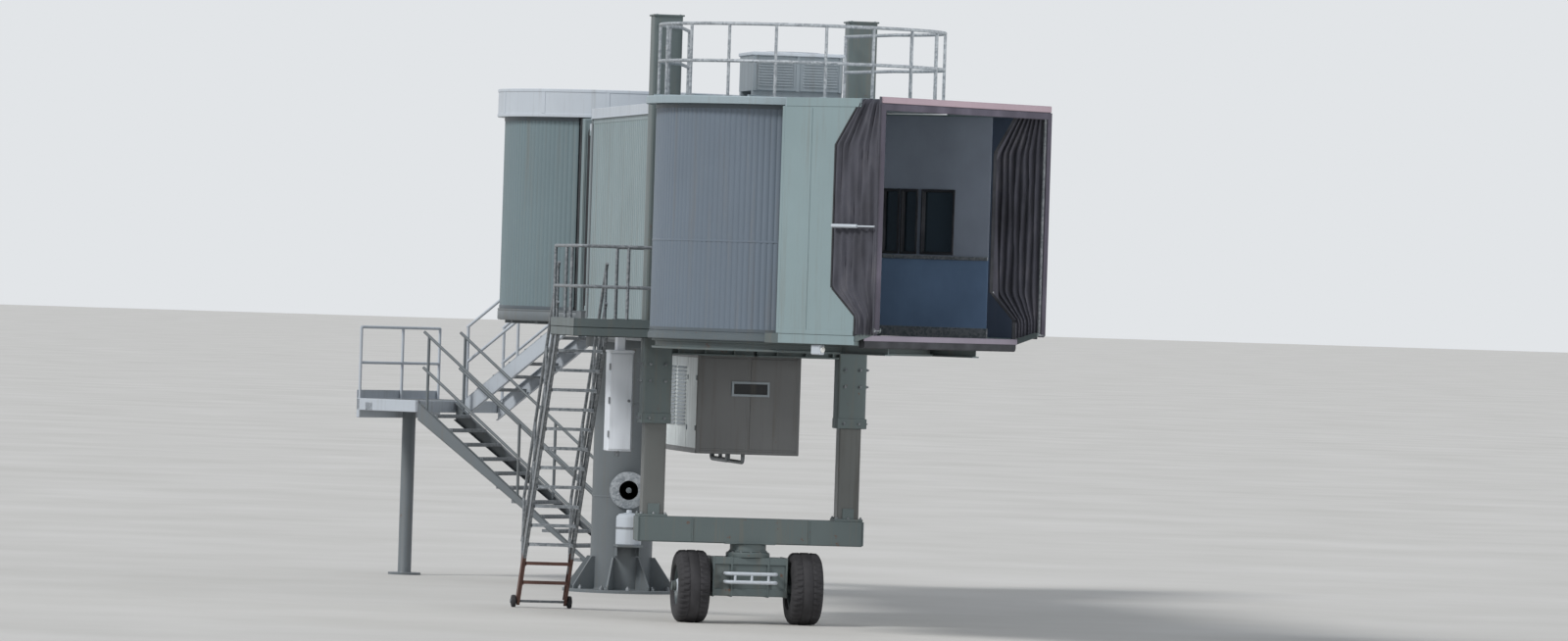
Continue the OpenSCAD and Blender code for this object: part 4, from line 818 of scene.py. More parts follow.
dress(glass, "service_door_glass")
dress(steel_paint, "swing_frame", "corridor_floor", "inner_tunnel_floor", "outer_tunnel_floor")
dress(tunnel_paint, "service_door", "throat_left_wall", "throat_right_wall", "throat_roof")
dress(white_paint, "inner_tunnel_roof", "outer_tunnel_roof")
pane = (DOOR_X + 0.55, DOOR_X + 0.8, 4.62, 5.22)
piece("service_door_gasket", joined(border(*pane, -0.991, 0.03, -0.012),
                                    border(*pane, -0.949, 0.03, 0.01)), rubber, "outer_tunnel")
service_door = (DOOR_X + DOOR_WIDE, -1.036, 3.49)
piece("service_door_frame", moved(door_frame, HALF_TURN, service_door), steel_paint,
      "outer_tunnel")
piece("service_door_fittings", moved(door_fittings, HALF_TURN, service_door), zinc,
      "outer_tunnel")

# Round room that the cab turns in: a floor disc with a pale rolled rim and a white roof disc
# with a drip edge, in line with the tunnel's own floor and roof.
HUB = (13.0, 0, 0)
rim_paint = paint("rim_paint", (88, 97, 101), streak=0.22, chip=0.03)
roof_paint = paint("roof_paint", (146, 160, 165), blotch=0.05, streak=0.16)
disc = turned([(1.6, 3.37), (1.68, 3.374), (1.69, 3.384), (1.69, 3.44), (1.676, 3.446),
               (1.676, 3.4695), (1.6, SILL_Z)], HUB, steps=144)
piece("cab_round_floor", disc, rim_paint, "outer_tunnel", "bubble_floor")
piece("cab_round_matting", turned([(1.5, SILL_Z), (1.5, 3.474), (1.49, 3.476)], HUB, steps=120),
      matting, "outer_tunnel")
top = turned([(1.62, 6.085), (1.76, 6.085), (1.764, 6.08), (1.786, 6.08), (1.79, 6.086),
              (1.79, 6.158), (1.782, 6.17), (1.7, 6.172), (0.5, 6.186)], steps=144)
radial = slab((0.3, -0.012, 6.168), (1.72, 0.012, 6.19))
piece("cab_round_roof", moved(joined(top, round_about(radial, 12)), by=HUB), roof_paint,
      "outer_tunnel", "bubble_roof")

# Slat curtains of the cab: the wide one on the service side shows in full, and the one on the
# aircraft side is wound up to a hand's breadth of crowded slats. A flat band ties the slats.
LEFT_ARC, RIGHT_ARC, CURTAIN_R = (-140.1, -16.0), (133.0, 140.1), 1.66
curtain("cab_left_curtain", HUB, CURTAIN_R, *LEFT_ARC, SILL_Z, OUTER_TOP, ("outer_tunnel", "cab"),
        "cab_left_curtain", slat_paint)
curtain("cab_right_curtain", HUB, CURTAIN_R, *RIGHT_ARC, SILL_Z, OUTER_TOP,
        ("cab", "outer_tunnel"), "cab_right_curtain", slat_paint, pitch=0.008)
curtain_piece("cab_left_curtain_band", arc_bar(*LEFT_ARC, 1.655, 1.6705, 4.5, 4.524), slat_paint,
              HUB, CURTAIN_R, *LEFT_ARC, SILL_Z, ("outer_tunnel", "cab"))
piece("cab_curtain_seals", both(slab((11.62, 1.022, 3.482), (11.78, 1.032, 6.068), 0.001)),
      rubber, "outer_tunnel")


# Lift columns: square steel tubes with rounded corners, open below, that hold the tunnel up.
# Each has a bolted cap, adjusting bolts for its slide pads and a conduit, and is welded to a
# cross beam under the tunnel's floor.
def rounded(x0, x1, y0, y1, corner):
    """The outline of a rectangle with quarter circles at its corners."""
    a = np.radians(np.linspace(0, 90, 6) + np.array([0, 90, 180, 270])[:, None])
    at = np.array([(x1 - corner, y1 - corner), (x0 + corner, y1 - corner),
                   (x0 + corner, y0 + corner), (x1 - corner, y0 + corner)])[:, None, :]
    return (at + corner * np.stack([np.cos(a), np.sin(a)], -1)).reshape(-1, 2)


LIFT_X = 10.2
X0, X1, Y0, Y1 = LIFT_X - 0.17, LIFT_X + 0.17, 1.0, 1.34
column_paint = paint("column_paint", (88, 98, 98), streak=0.25, chip=0.07, blotch=0.1)
outer = rounded(X0, X1, Y0, Y1, 0.03)
inner = rounded(X0 + 0.02, X1 - 0.02, Y0 + 0.02, Y1 - 0.02, 0.015)
shaft = stacked((inner, 7.15), (inner, 2.352), (outer, 2.35), (outer, 7.176),
                (rounded(X0 + 0.004, X1 - 0.004, Y0 + 0.004, Y1 - 0.004, 0.03), 7.18))
cap = slab((X0 - 0.015, Y0 - 0.015, 7.172), (X1 + 0.015, Y1 + 0.015, 7.192))
mouth = blocks(0.003, (X0 - 0.012, Y0, 2.352, X0 + 0.001, Y1, 2.47),
               (X1 - 0.001, Y0, 2.352, X1 + 0.012, Y1, 2.47),
               (X0 - 0.012, Y1 - 0.001, 2.352, X1 + 0.012, Y1 + 0.012, 2.47))
ears = spread(slab((0, 0.98, 0), (0.02, 1.12, 0.22), 0.003), (10.0, 10.38), zs=(3.5, 5.8))
beam = joined(blocks(0.002, (X0, 0.02, 3.35, X1, Y0, 3.368), (X0, 0.02, 3.17, X1, Y0, 3.19),
                     (10.1, 0.02, 3.18, 10.116, Y0, 3.36), (10.284, 0.02, 3.18, 10.3, Y0, 3.36)),
              spread(slab((10.035, 0, 3.18), (10.365, 0.014, 3.36), 0.002),
                     ys=(0.25, 0.6, 0.92)))
pad_bolt, pad_heights = bolt(0.03, 0.018), (2.41, 2.85, 3.05)
conduit = tube([(10.02, 1.3, 6.9), (9.99, 1.3, 6.85), (9.99, 1.3, 3.9), (9.99, 1.22, 3.6),
                (9.99, 1.1, 3.42)], 0.014, bend=0.05, sides=10, plane=(0.3, 0.1, 1))
fixings = joined(spread(bolt(0.026, 0.006), (10.06, 10.34), (1.03, 1.31), (7.189,)),
                 spread(moved(pad_bolt, ALONG_X), (10.38,), (1.08, 1.26), pad_heights),
                 spread(moved(pad_bolt, ALONG_Y), (10.11, 10.29), (1.35,), pad_heights), conduit,
                 spread(slab((9.972, 1.275, -0.012), (10.034, 1.325, 0.012), 0.003),
                        zs=(4.2, 5.0, 5.8, 6.6)))
for hand, mirror in HANDS:
    piece(f"lift_{hand}_tube", moved(joined(shaft, cap, mouth, ears, beam), mirror), column_paint,
          "outer_tunnel", f"lift_{hand}_column")
    piece(f"lift_{hand}_bolts", moved(fixings, mirror), zinc, "outer_tunnel")

# Inner legs and cross beam of the lift: the legs slide in the tubes on bronze pads; gussets
# and bolted feet join them to a deep box beam with the slewing boss under its middle.
grease = paint("greased_steel", (92, 94, 92), rough=0.34, streak=0.3, chip=0.04, dirt=(58, 52, 44))
leg = prism(rounded(10.07, 10.33, 1.04, 1.3, 0.02), 1.25, 5.4)
leg_pads = spread(slab((10.0505, 1.0205, 0), (10.3495, 1.3195, 0.2)), zs=(2.85, 5.2))
piece("lift_inner_legs", both(joined(leg, leg_pads)), grease, "lift", "lift_legs")
leg_foot = joined(slab((10.035, 1.005, 1.248), (10.365, 1.345, 1.276)),
                  spread(slab((0, 1.1, 1.26), (0.014, 1.24, 1.4), 0.002), (10.056, 10.33)))
cross = joined(slab((X0, -1.35, 0.95), (X1, 1.35, 1.25), 0.012),
               spread(slab((10.02, -0.008, 0.96), (10.38, 0.008, 1.245), 0.003),
                      ys=(-1.35, -0.7, 0.7, 1.35)),
               slab((10.015, -0.3, 0.945), (10.385, 0.3, 0.965)),
               turned([(0.22, 0.85), (0.228, 0.856), (0.228, 0.87), (0.215, 0.876), (0.215, 0.94),
                       (0.25, 0.952)], (LIFT_X, 0, 0), steps=64))
piece("lift_cross_beam", joined(cross, both(leg_foot)), column_paint, "lift", "cross_beam")
piece("lift_foot_bolts", both(spread(bolt(0.03, 0.016), (10.052, 10.348), (1.03, 1.17, 1.32),
                                     (1.276,))), zinc, "lift")

# Bogie: a slewing plate over a box frame, with a chain-drive motor behind each wheel and a
# pale tow bar in front.
plate = turned([(0.26, 0.79), (0.262, 0.794), (0.262, 0.836), (0.25, 0.8497)], (LIFT_X, 0, 0),
               steps=64)
frame_box = joined(blocks(0.01, (9.97, -0.44, 0.33, 10.43, 0.44, 0.42),
                          (9.97, -0.44, 0.7, 10.43, 0.44, 0.79)),
                   spread(slab((0, -0.44, 0.4), (0.022, 0.44, 0.72), 0.002), (9.99, 10.388)),
                   spread(slab((9.965, -0.012, 0.32), (10.435, 0.012, 0.795)),
                          ys=(-0.438, -0.22, 0.22, 0.438)))
axle = moved(turned([(0.06, -0.9), (0.055, -0.905), (0.055, -0.88), (0.06, -0.875), (0.06, 0.875),
                     (0.055, 0.88), (0.055, 0.905)], steps=32), ALONG_Y, (LIFT_X, 0, 0.43))
piece("bogie_box", joined(plate, frame_box, axle), column_paint, "bogie", "bogie_frame")
gear_paint = paint("gear_paint", (72, 82, 84), streak=0.3, chip=0.06)
motor = joined(turned([(0.07, 0), (0.085, 0.01), (0.085, 0.2), (0.078, 0.21), (0.05, 0.225)],
                      steps=32),
               spread(turned([(0.089, 0), (0.092, 0.003), (0.089, 0.006)], steps=32),
                      zs=np.arange(0.03, 0.19, 0.022)))
piece("bogie_motors", both(joined(moved(motor, ALONG_Y, (9.9, 0.02, 0.56)),
                                  slab((9.82, 0.235, 0.38), (10.0, 0.4, 0.66), 0.02))),
      gear_paint, "bogie")
loops = [[(10.42, -0.3, z), (10.56, -0.3, z), (10.56, 0.3, z), (10.42, 0.3, z)] for z in (0.6, 0.5)]
piece("bogie_tow_bar", joined(tubes(0.022, *loops), tubes(0.016, *[
    [(10.56, y, 0.5), (10.56, y, 0.6)] for y in (-0.2, 0, 0.2)])), white_paint, "bogie")
slew_bolts = round_about(bolt(0.034, 0.014, (10.43, 0, 0.836)), 12, centre=(LIFT_X, 0, 0))
piece("bogie_bolts", slew_bolts, zinc, "bogie")


# Wheels: solid rubber tyres on dished steel rims, eight nuts round a pale hub cap. The tread
# has upright lugs parted by slanting grooves and two worn channels round it.
def tyre():
    """The tyre's section, as radius by width, turned about the axle. Where a groove runs the
    radius drops by 14 mm; grooves slant with the width, one hand's way left and the other
    right."""
    half = [(0, 0.43), (0.045, 0.4295), (0.06, 0.418), (0.075, 0.4285), (0.09, 0.4275),
            (0.14, 0.424), (0.165, 0.405), (0.185, 0.37), (0.19, 0.31), (0.185, 0.26),
            (0.16, 0.24), (0.13, 0.235)]
    w, r = np.array([(-w, r) for w, r in half[:0:-1]] + half).T[..., None]
    turn = 2 * math.pi * np.arange(216) / 216
    groove = (np.cos(36 * (turn + 1.1 * np.abs(w))) > 0.72) & (np.abs(w) > 0.07) & (r > 0.38)
    radius = r - 0.014 * groove
    loops = np.stack([radius * np.cos(turn), w + 0 * turn, radius * np.sin(turn)], -1)
    inside = np.stack([0.232 * np.cos(turn), 0 * turn, 0.232 * np.sin(turn)], -1)
    return lofted([*loops, inside], capped=False)


tread = rubber_material("tyre_rubber", (39, 38, 40), 0.8, 70.0)
rim = turned([(0.062, -0.12), (0.1, -0.12), (0.105, -0.07), (0.17, -0.06), (0.2, -0.12),
              (0.225, -0.15), (0.243, -0.155), (0.243, 0.155), (0.225, 0.15), (0.2, 0.1),
              (0.17, 0.05), (0.105, 0.06), (0.1, 0.12), (0.062, 0.12)], steps=64)
hub = turned([(0.062, 0.11), (0.09, 0.11), (0.088, 0.15), (0.07, 0.168), (0.02, 0.174)], steps=40)
nuts = round_about(bolt(0.034, 0.02, (0.137, 0, 0.055)), 8)
for hand, mirror in HANDS:
    body, middle = f"{hand}_wheel_body", mirror @ (LIFT_X, 0.68, 0.43)
    piece(f"{hand}_tyre", moved(tyre(), by=middle), tread, body, f"{hand}_wheel", crease=40)
    for part, shape, finish in (("rim", rim, gear_paint), ("hub_cap", hub, white_paint),
                                ("wheel_nuts", nuts, zinc)):
        piece(f"{hand}_{part}", moved(shape, mirror @ ALONG_Y, middle), finish, body)

# Roof ladder and guard rail: galvanised tube with flanged feet, bent at the corners.
pale_steel = galvanise("pale_galvanised", 1.5, dull=0.12)
LADDER_X, LADDER_Y, LADDER_WIDE = 9.52, -1.18, 0.4
STILES = (LADDER_X, LADDER_X + LADDER_WIDE)
rung = [(LADDER_X, LADDER_Y, 0), (LADDER_X + LADDER_WIDE, LADDER_Y, 0)]
ladder = joined(tubes(0.02, *[[(x, LADDER_Y, 5.27), (x, LADDER_Y, 7.12)] for x in STILES]),
                spread(tube(rung, 0.014, sides=8), zs=np.arange(5.37, 7.05, 0.3)),
                tubes(0.014, *[[(x, LADDER_Y, z), (x, -1.0, z)] for x in STILES
                               for z in (5.42, 5.96)], sides=8),
                moved(tube(rung, 0.018), by=(0, 0, 7.11)))
piece("roof_ladder_tubes", ladder, pale_steel, "outer_tunnel", "roof_ladder")

RAIL_R, RAIL_TOP = 1.65, 7.02
hoop = around([(RAIL_R, 0)], np.linspace(-130, 130, 60))[:, 0] + HUB
hoop = [(10.46, -0.94, 0), *hoop, (10.46, 0.94, 0)]
hoop_tube = tube(hoop, 0.02, bend=0.001, sides=10, plane=(0, 0, 1))
feet = around([(RAIL_R, 0)], np.arange(-120, 121, 20))[:, 0] + HUB
post = joined(tube([(0, 0, 6.17), (0, 0, RAIL_TOP - 0.03)], 0.018, sides=10),
              slab((-0.05, -0.05, 6.17), (0.05, 0.05, 6.18), 0.002))
guard = joined(spread(hoop_tube, zs=(RAIL_TOP - 0.02, RAIL_TOP - 0.445)),
               copies(post, [*feet, (10.478, -0.94, 0), (10.478, 0.94, 0)]))
piece("roof_guard_rail", guard, pale_steel, "outer_tunnel", "guard_rail")

# Roof unit: a low cooling unit on two skids, of ribbed casing with a lid that overhangs, louvres
# on its front and a round fan guard on top.
unit_paint = paint("unit_paint", (134, 142, 147), streak=0.22, blotch=0.08)
UNIT_LOW, UNIT_HIGH = np.array([12.5, -0.65, 6.26]), np.array([13.5, 0.4, 6.71])
FAN = (13, -0.12, 0)
louvre = lofted([[(0, y, 0), (0.014, y, -0.016), (0.014, y, -0.02), (0, y, -0.006)]
                 for y in (-0.2, 0.2)])
casing = joined(
    slab(UNIT_LOW + (0.01, 0.01, 0), UNIT_HIGH - (0.01, 0.01, 0.04), 0.012),
    spread(slab((12.5, -0.02, 6.26), (13.5, 0.02, 6.68)), ys=(-0.628, -0.125, 0.378)),
    spread(louvre, (13.488,), (-0.385, 0.135), np.arange(6.34, 6.63, 0.032)),
    spread(slab((0, -0.65, 6.17), (0.08, 0.4, 6.265), 0.006), (12.54, 13.38)))
piece("roof_unit_casing", casing, unit_paint, "outer_tunnel", "roof_unit")
well = turned([(0.34, 6.7), (0.345, 6.72), (0.33, 6.724), (0.325, 6.705)], FAN, steps=64)
piece("roof_unit_lid", joined(slab(UNIT_LOW + (-0.015, -0.015, 0.408),
                                   UNIT_HIGH + (0.015, 0.015, 0), 0.008), well),
      white_paint, "outer_tunnel")
spoke = slab((0, -0.005, 6.708), (0.33, 0.005, 6.718), 0.002)
wires = [turned([(r - 0.004, 6.722), (r, 6.726), (r + 0.004, 6.722), (r, 6.718)], steps=48)
         for r in (0.06, 0.11, 0.16, 0.21, 0.26, 0.31)]
piece("roof_unit_fan_guard", moved(joined(*wires, round_about(spoke, 8)), by=FAN), zinc,
      "outer_tunnel")

# Air unit under the tunnel: a long casing of flanged sheet panels hung on four straps, with a
# louvred intake on the service side, latched doors, and an outlet slot in its front end. The casing
# is painted darker than its side panels: painted shade on the casing and its front end, painted
# light on the side panels; the slot's inside is painted shade.
BACK, FRONT, HALF, LOW, HIGH = 6.71, 9.91, 0.62, 2.0, 3.2
# The casing's dark grey is painted shade, for its shaded front end; its brown streaks are dirt.
air_casing_dirt_and_painted_shade = paint("air_unit_dirt_and_painted_shade", (99, 100, 100), streak=0.3, blotch=0.1,
                  chip=0.02, dirt=(84, 77, 68))
# The side panels' pale grey is painted light, for the sunlit service side; both sides get it.
air_side_panel_painted_light = paint("air_side_painted_light", (206, 212, 211), streak=0.24, blotch=0.08,
                    chip=0.01)
end_panels = spread(slab((0, 0.02, LOW + 0.06), (0.008, HALF - 0.02, HIGH - 0.06), 0.005),
                    (BACK, FRONT - 0.008), (-HALF, 0))
rims = joined(
    spread(slab((BACK, -0.02, 0), (FRONT, 0.02, 0.04), 0.006), ys=(0.018 - HALF, HALF - 0.018),
           zs=(LOW, HIGH - 0.04)),
    spread(slab((-0.018, -HALF, 0), (0.018, HALF, 0.04), 0.006), (BACK + 0.018, FRONT - 0.018),
           zs=(LOW, HIGH - 0.04)),
    spread(slab((-0.022, -0.022, LOW), (0.022, 0.022, HIGH), 0.006), (BACK + 0.02, FRONT - 0.02),
           (0.02 - HALF, HALF - 0.02)))
air_casing = joined(slab((BACK + 0.006, 0.006 - HALF, LOW + 0.02),
                         (FRONT - 0.006, HALF - 0.006, HIGH - 0.02), 0.01), rims, end_panels,
                    spread(slab((0, -0.05, HIGH - 0.02), (0.1, 0.05, 3.37)),
                           (BACK + 0.2, FRONT - 0.3), (-0.55, 0.55)))
piece("air_unit_casing", air_casing, air_casing_dirt_and_painted_shade, "outer_tunnel", "air_unit")
side_panel = slab((0.015, HALF - 0.008, LOW + 0.06), (0.785, HALF, HIGH - 0.06), 0.005)
piece("air_unit_side_panels", both(spread(side_panel, BACK + 0.8 * np.arange(4))), air_side_panel_painted_light,
      "outer_tunnel")
blade = lofted([[(x, 0, 0), (x, -0.018, -0.022), (x, -0.018, -0.027), (x, 0, -0.006)]
                for x in (-0.33, 0.33)])
latch = slab((-0.02, -0.012, -0.03), (0.02, 0.002, 0.03))
slot_frame = moved(border(-0.2, 0.2, 2.72, 2.84, 0, 0.03, -0.014), about_z(90), (FRONT, 0.02, 0))
piece("air_unit_louvres", joined(
    spread(blade, (BACK + 1.2, BACK + 2.0), (-HALF,), np.arange(2.35, 3.05, 0.045)),
    spread(latch, BACK + np.array([0.06, 0.74, 2.46, 3.14]), (-HALF,), (2.3, 2.9)), slot_frame),
    unit_paint, "outer_tunnel")
# The outlet slot's inside is a dark plate laid flush at the front end: painted shade.
painted_slot_shade = paint("outlet_slot_painted_shade", (34, 36, 38), blotch=0.15)
piece("air_unit_slot_painted_shade", slab((FRONT - 0.004, -0.18, 2.72), (FRONT + 0.003, 0.22, 2.84), 0.001),
      painted_slot_shade, "outer_tunnel")
piece("air_unit_pipes", joined(*[
    tube([(front, y, 2.02), (front, y, low), (back, y, low), (back, y, 2.02)], radius)
    for front, back, y, low, radius in ((9.4, 8.2, -0.15, 1.92, 0.03), (9.6, 7.9, 0, 1.9, 0.024))]),
    zinc, "outer_tunnel")

# Power cabinet beside the lift: a slim white steel cupboard on a hanger, with a flanged door,
# three hinges, a lock, a sloping rain hood and three cable glands below.
CUP_X0, CUP_X1, CUP_Y0, CUP_Y1 = 9.64, 9.96, -1.7, -1.4
cabinet_paint = paint("cabinet_paint", (220, 224, 229), blotch=0.04, streak=0.1)
cupboard = joined(slab((CUP_X0, CUP_Y0 + 0.01, 2.0), (CUP_X1 - 0.012, CUP_Y1, 3.19), 0.008),
                  blocks(0.006,
                         (CUP_X1 - 0.016, CUP_Y0 + 0.02, 2.02, CUP_X1, CUP_Y1 - 0.012, 3.16),
                         (CUP_X0, CUP_Y0, 3.172, CUP_X1 + 0.015, CUP_Y1 + 0.005, 3.2),
                         (9.7, -1.6, 3.19, 9.9, -1.5, 3.36)))
piece("power_cabinet_shell", cupboard, cabinet_paint, "outer_tunnel", "power_cabinet")
cup_hinge = turned([(0.008, -0.04), (0.01, -0.038), (0.01, 0.038), (0.008, 0.04)], steps=12)
cup_lock = turned([(0.018, 0), (0.018, 0.01), (0.014, 0.013)], steps=20)
gland = turned([(0.02, 0), (0.02, -0.03), (0.014, -0.05), (0.014, -0.07)], steps=16)
piece("power_cabinet_fittings", joined(
    spread(cup_hinge, (CUP_X1,), (CUP_Y0 + 0.014,), (2.2, 2.6, 3.0)),
    moved(cup_lock, ALONG_X, (CUP_X1, CUP_Y1 - 0.05, 2.6)),
    spread(gland, (9.72, 9.8, 9.88), (-1.55,), (2.005,))), zinc, "outer_tunnel")

# Service landing beside the outer tunnel: a frame of channels under open grating, tube rails
# with a kick plate, and the two ears that the service stair hangs on.
LAND_Z, LAND_X0, LAND_X1, EDGE = 3.47, 9.5, 11.45, -2.35


def channel_frame(ax, ay, az, bx, by, bz):
    """Four channels round a rectangle, each a web with a flange turned in above and below."""
    return joined(*[
        blocks(0.002, (ax, ay, low, bx, ay + wide, high), (ax, by - wide, low, bx, by, high),
               (ax, ay, low, ax + wide, by, high), (bx - wide, ay, low, bx, by, high))
        for wide, low, high in ((0.05, az, az + 0.01), (0.05, bz - 0.01, bz), (0.008, az, bz))])


ear = moved(prism([(9.345, 3.36), (9.505, 3.36), (9.505, 3.45), (9.38, 3.45), (9.352, 3.43)], 0,
                  0.04), UPRIGHT)
KICK_TOP = LAND_Z + 0.1
land_frame = joined(channel_frame(LAND_X0, EDGE, 3.36, LAND_X1, -1.39, LAND_Z),
                    channel_frame(LAND_X0, -1.4, 3.36, 9.98, -1.026, LAND_Z),
                    channel_frame(10.42, -1.4, 3.36, LAND_X1, -1.0, LAND_Z),
                    spread(slab((0, EDGE, 3.37), (0.01, -1.39, 3.46), 0.002), (10.1, 10.8)),
                    spread(ear, ys=(-1.62, -2.32)),
                    blocks(0.002, (LAND_X0, EDGE, LAND_Z, LAND_X1, EDGE + 0.008, KICK_TOP),
                           (LAND_X1 - 0.008, EDGE, LAND_Z, LAND_X1, -1.09, KICK_TOP),
                           (LAND_X0, -1.61, LAND_Z, LAND_X0 + 0.008, -1.09, KICK_TOP)))
piece("landing_frame", land_frame, column_paint, "outer_tunnel", "service_landing")
rail_y, rail_x0, rail_x1 = EDGE + 0.03, LAND_X0 + 0.04, LAND_X1 - 0.04
post_places = ((rail_x0, rail_y), (10.475, rail_y), (10.925, rail_y), (rail_x1, -1.72),
               (rail_x1, -1.12), (rail_x0, -1.12), (rail_x0, -1.58))
land_rails = joined(
    *[tube([(*p, LAND_Z + h) for p in line], 0.02, bend=0.1, plane=(0, 0, 1)) for line in (
        [(rail_x0, rail_y), (rail_x1, rail_y), (rail_x1, -1.12)],
        [(rail_x0, -1.12), (rail_x0, -1.58)]) for h in (0.475, 0.95)],
    *[tube([(*p, LAND_Z - 0.02), (*p, LAND_Z + 0.95)], 0.02) for p in post_places])
piece("landing_rails", land_rails, zinc, "outer_tunnel")
piece("landing_grating", joined(*[
    grating(x0, y0, LAND_Z - 0.035, x1, y1, LAND_Z - 0.002) for x0, y0, x1, y1 in (
        (LAND_X0 + 0.01, EDGE + 0.01, LAND_X1 - 0.01, -1.4), (LAND_X0 + 0.01, -1.4, 9.97, -1.03),
        (10.43, -1.4, LAND_X1 - 0.01, -1.01))]), zinc, "outer_tunnel")

# Service stair: channel stringers, grating treads with pale worn nosings, and tube handrails.
# It hinges on the landing and rolls on two foot wheels as the bridge rises and falls. Its
# lowest steps are brown with rust and road dirt.
HINGE, FALL, STAIR_SLOPE = np.array([9.39, 0, 3.41]), 3.335, math.radians(50)
RUN = FALL / math.tan(STAIR_SLOPE)
SLANT = RUN / math.cos(STAIR_SLOPE)
DOWN = np.array([-math.cos(STAIR_SLOPE), 0, -math.sin(STAIR_SLOPE)])
ACROSS = np.array([-math.sin(STAIR_SLOPE), 0, math.cos(STAIR_SLOPE)])


def along_stair(start, stop, y0, y1, low, high):
    """A bar that follows the stair: from start to stop down the slope, and from low to high
    square to it."""
    return lofted([[HINGE + s * DOWN + n * ACROSS + (0, y, 0)
                    for y, n in ((y0, low), (y1, low), (y1, high), (y0, high))]
                   for s in (start, stop)])


def stair_sides(start, stop):
    """The stringers between two places down the slope: webs with a lip above and below."""
    return joined(*[along_stair(start, stop, out, out + wide, low, high)
                    for out, into in ((-1.64, -1), (-2.26, 1))
                    for wide, low, high in ((0.008 * into, -0.045, 0.075),
                                            (0.04 * into, -0.045, -0.037),
                                            (0.04 * into, 0.067, 0.075))])


def stair_line(y, places, heights):
    """Points over the stair's line at shares of the way down."""
    return [HINGE + (-RUN * t, y, h - FALL * t) for t, h in zip(places, heights)]


STEPS, STEP_Y0, STEP_Y1, RUST_FROM = 14, -2.222, -1.678, 0.83 * SLANT
one_tread = joined(grating(-0.1, STEP_Y0, -0.018, 0.1, STEP_Y1, 0.016),
                   slab((-0.1, STEP_Y0, -0.018), (-0.07, STEP_Y1, 0.018)),
                   spread(slab((-0.1, 0, -0.03), (0.1, 0.006, 0.018), 0.001),
                          ys=(STEP_Y0, STEP_Y1 - 0.006)))
step_places = [HINGE + (-RUN * i / STEPS, 0, -FALL * i / STEPS) for i in range(1, STEPS)]
handrails = joined(*[tubes(0.02, *[stair_line(y, (0.04, 0.92), (h, h)) for h in (0.475, 0.95)])
                     for y in (-1.66, -2.24)],
                   *[tubes(0.018, *[stair_line(y, (t, t), (0.02, 0.95))
                                    for t in (0.06, 0.34, 0.62, 0.9)]) for y in (-1.66, -2.24)])
rust_paint = paint("rusty_foot", (98, 70, 62), rough=0.7, blotch=0.25, streak=0.3, chip=0.12)
foot_plates = spread(slab((6.53, -0.006, 0.04), (6.65, 0.006, 0.2), 0.003), ys=(-1.66, -2.24))
stair_pin = turned([(0.02, 0), (0.02, 0.76), (0.028, 0.76), (0.028, 0.772)], steps=24)
piece("service_stair_sides", joined(stair_sides(-0.015, RUST_FROM), handrails), zinc, "stair",
      "service_stair")
piece("service_stair_treads", copies(one_tread, step_places[:11]), pale_steel, "stair")
piece("service_stair_foot", joined(stair_sides(RUST_FROM, SLANT + 0.025),
                                   copies(one_tread, step_places[11:]), foot_plates),
      rust_paint, "stair")
piece("service_stair_pin", moved(stair_pin, ALONG_Y, (9.39, -2.33, 3.41)), zinc, "stair")

# Foot wheels of the service stair: solid rubber on a small dished hub, turning on one axle.
castor = turned([(0.016, -0.022), (0.03, -0.024), (0.032, -0.02), (0.048, -0.018), (0.05, -0.025),
                 (0.068, -0.025), (0.075, -0.016), (0.075, 0.016), (0.068, 0.025), (0.05, 0.025),
                 (0.048, 0.018), (0.032, 0.02), (0.03, 0.024), (0.016, 0.022)], steps=48)
foot_centre = (9.39 - RUN, 0, 0.075)
piece("stair_castors", moved(spread(moved(castor, ALONG_Y), ys=(-1.605, -2.295)), by=foot_centre),
      tread, "stair_foot", "stair_wheels")
collar = turned([(0.026, 0), (0.026, 0.008), (0.02, 0.014)], steps=20)
stair_axle = joined(turned([(0.0157, -2.33), (0.0157, -1.57)], steps=20),
                    spread(collar, zs=(-1.585, -2.336)))
piece("stair_axle", moved(stair_axle, UPRIGHT, foot_centre), zinc, "stair_foot")

# Hose reel and canister on the front of the column: a spoked steel reel with two layers of
# black hose on a fixed axle, and a pale pressure canister held to its shelf by a strap.
REEL, CANISTER = (0.41, 0, 1.33), (0.585, 0, 0.6303)
cheek = turned([(0.12, 0), (0.236, 0), (0.24, 0.002), (0.236, 0.004), (0.12, 0.004)], steps=72)
arm = slab((0.03, -0.012, 0), (0.123, 0.012, 0.004), 0.002)
reel = joined(spread(joined(cheek, round_about(arm, 4)), zs=(0.006, 0.078)),
              turned([(0.12, 0.006), (0.125, 0.006), (0.125, 0.082), (0.12, 0.082)], steps=64),
              turned([(0.0203, 0), (0.035, 0), (0.035, 0.088), (0.0203, 0.088)], steps=32))
piece("hose_reel_frame", moved(reel, ALONG_X, REEL), pale_steel, "fixed", "hose_reel")


def hose_ring(radius, height):
    """One turn of hose: a circle of 17 mm turned about the reel's axis."""
    a = np.linspace(0, 2 * math.pi, 12, endpoint=False)
    section = np.stack([radius + 0.0168 * np.cos(a), height + 0.0168 * np.sin(a)], -1)
    return lofted(around(section, np.linspace(0, 360, 73)), capped=False)


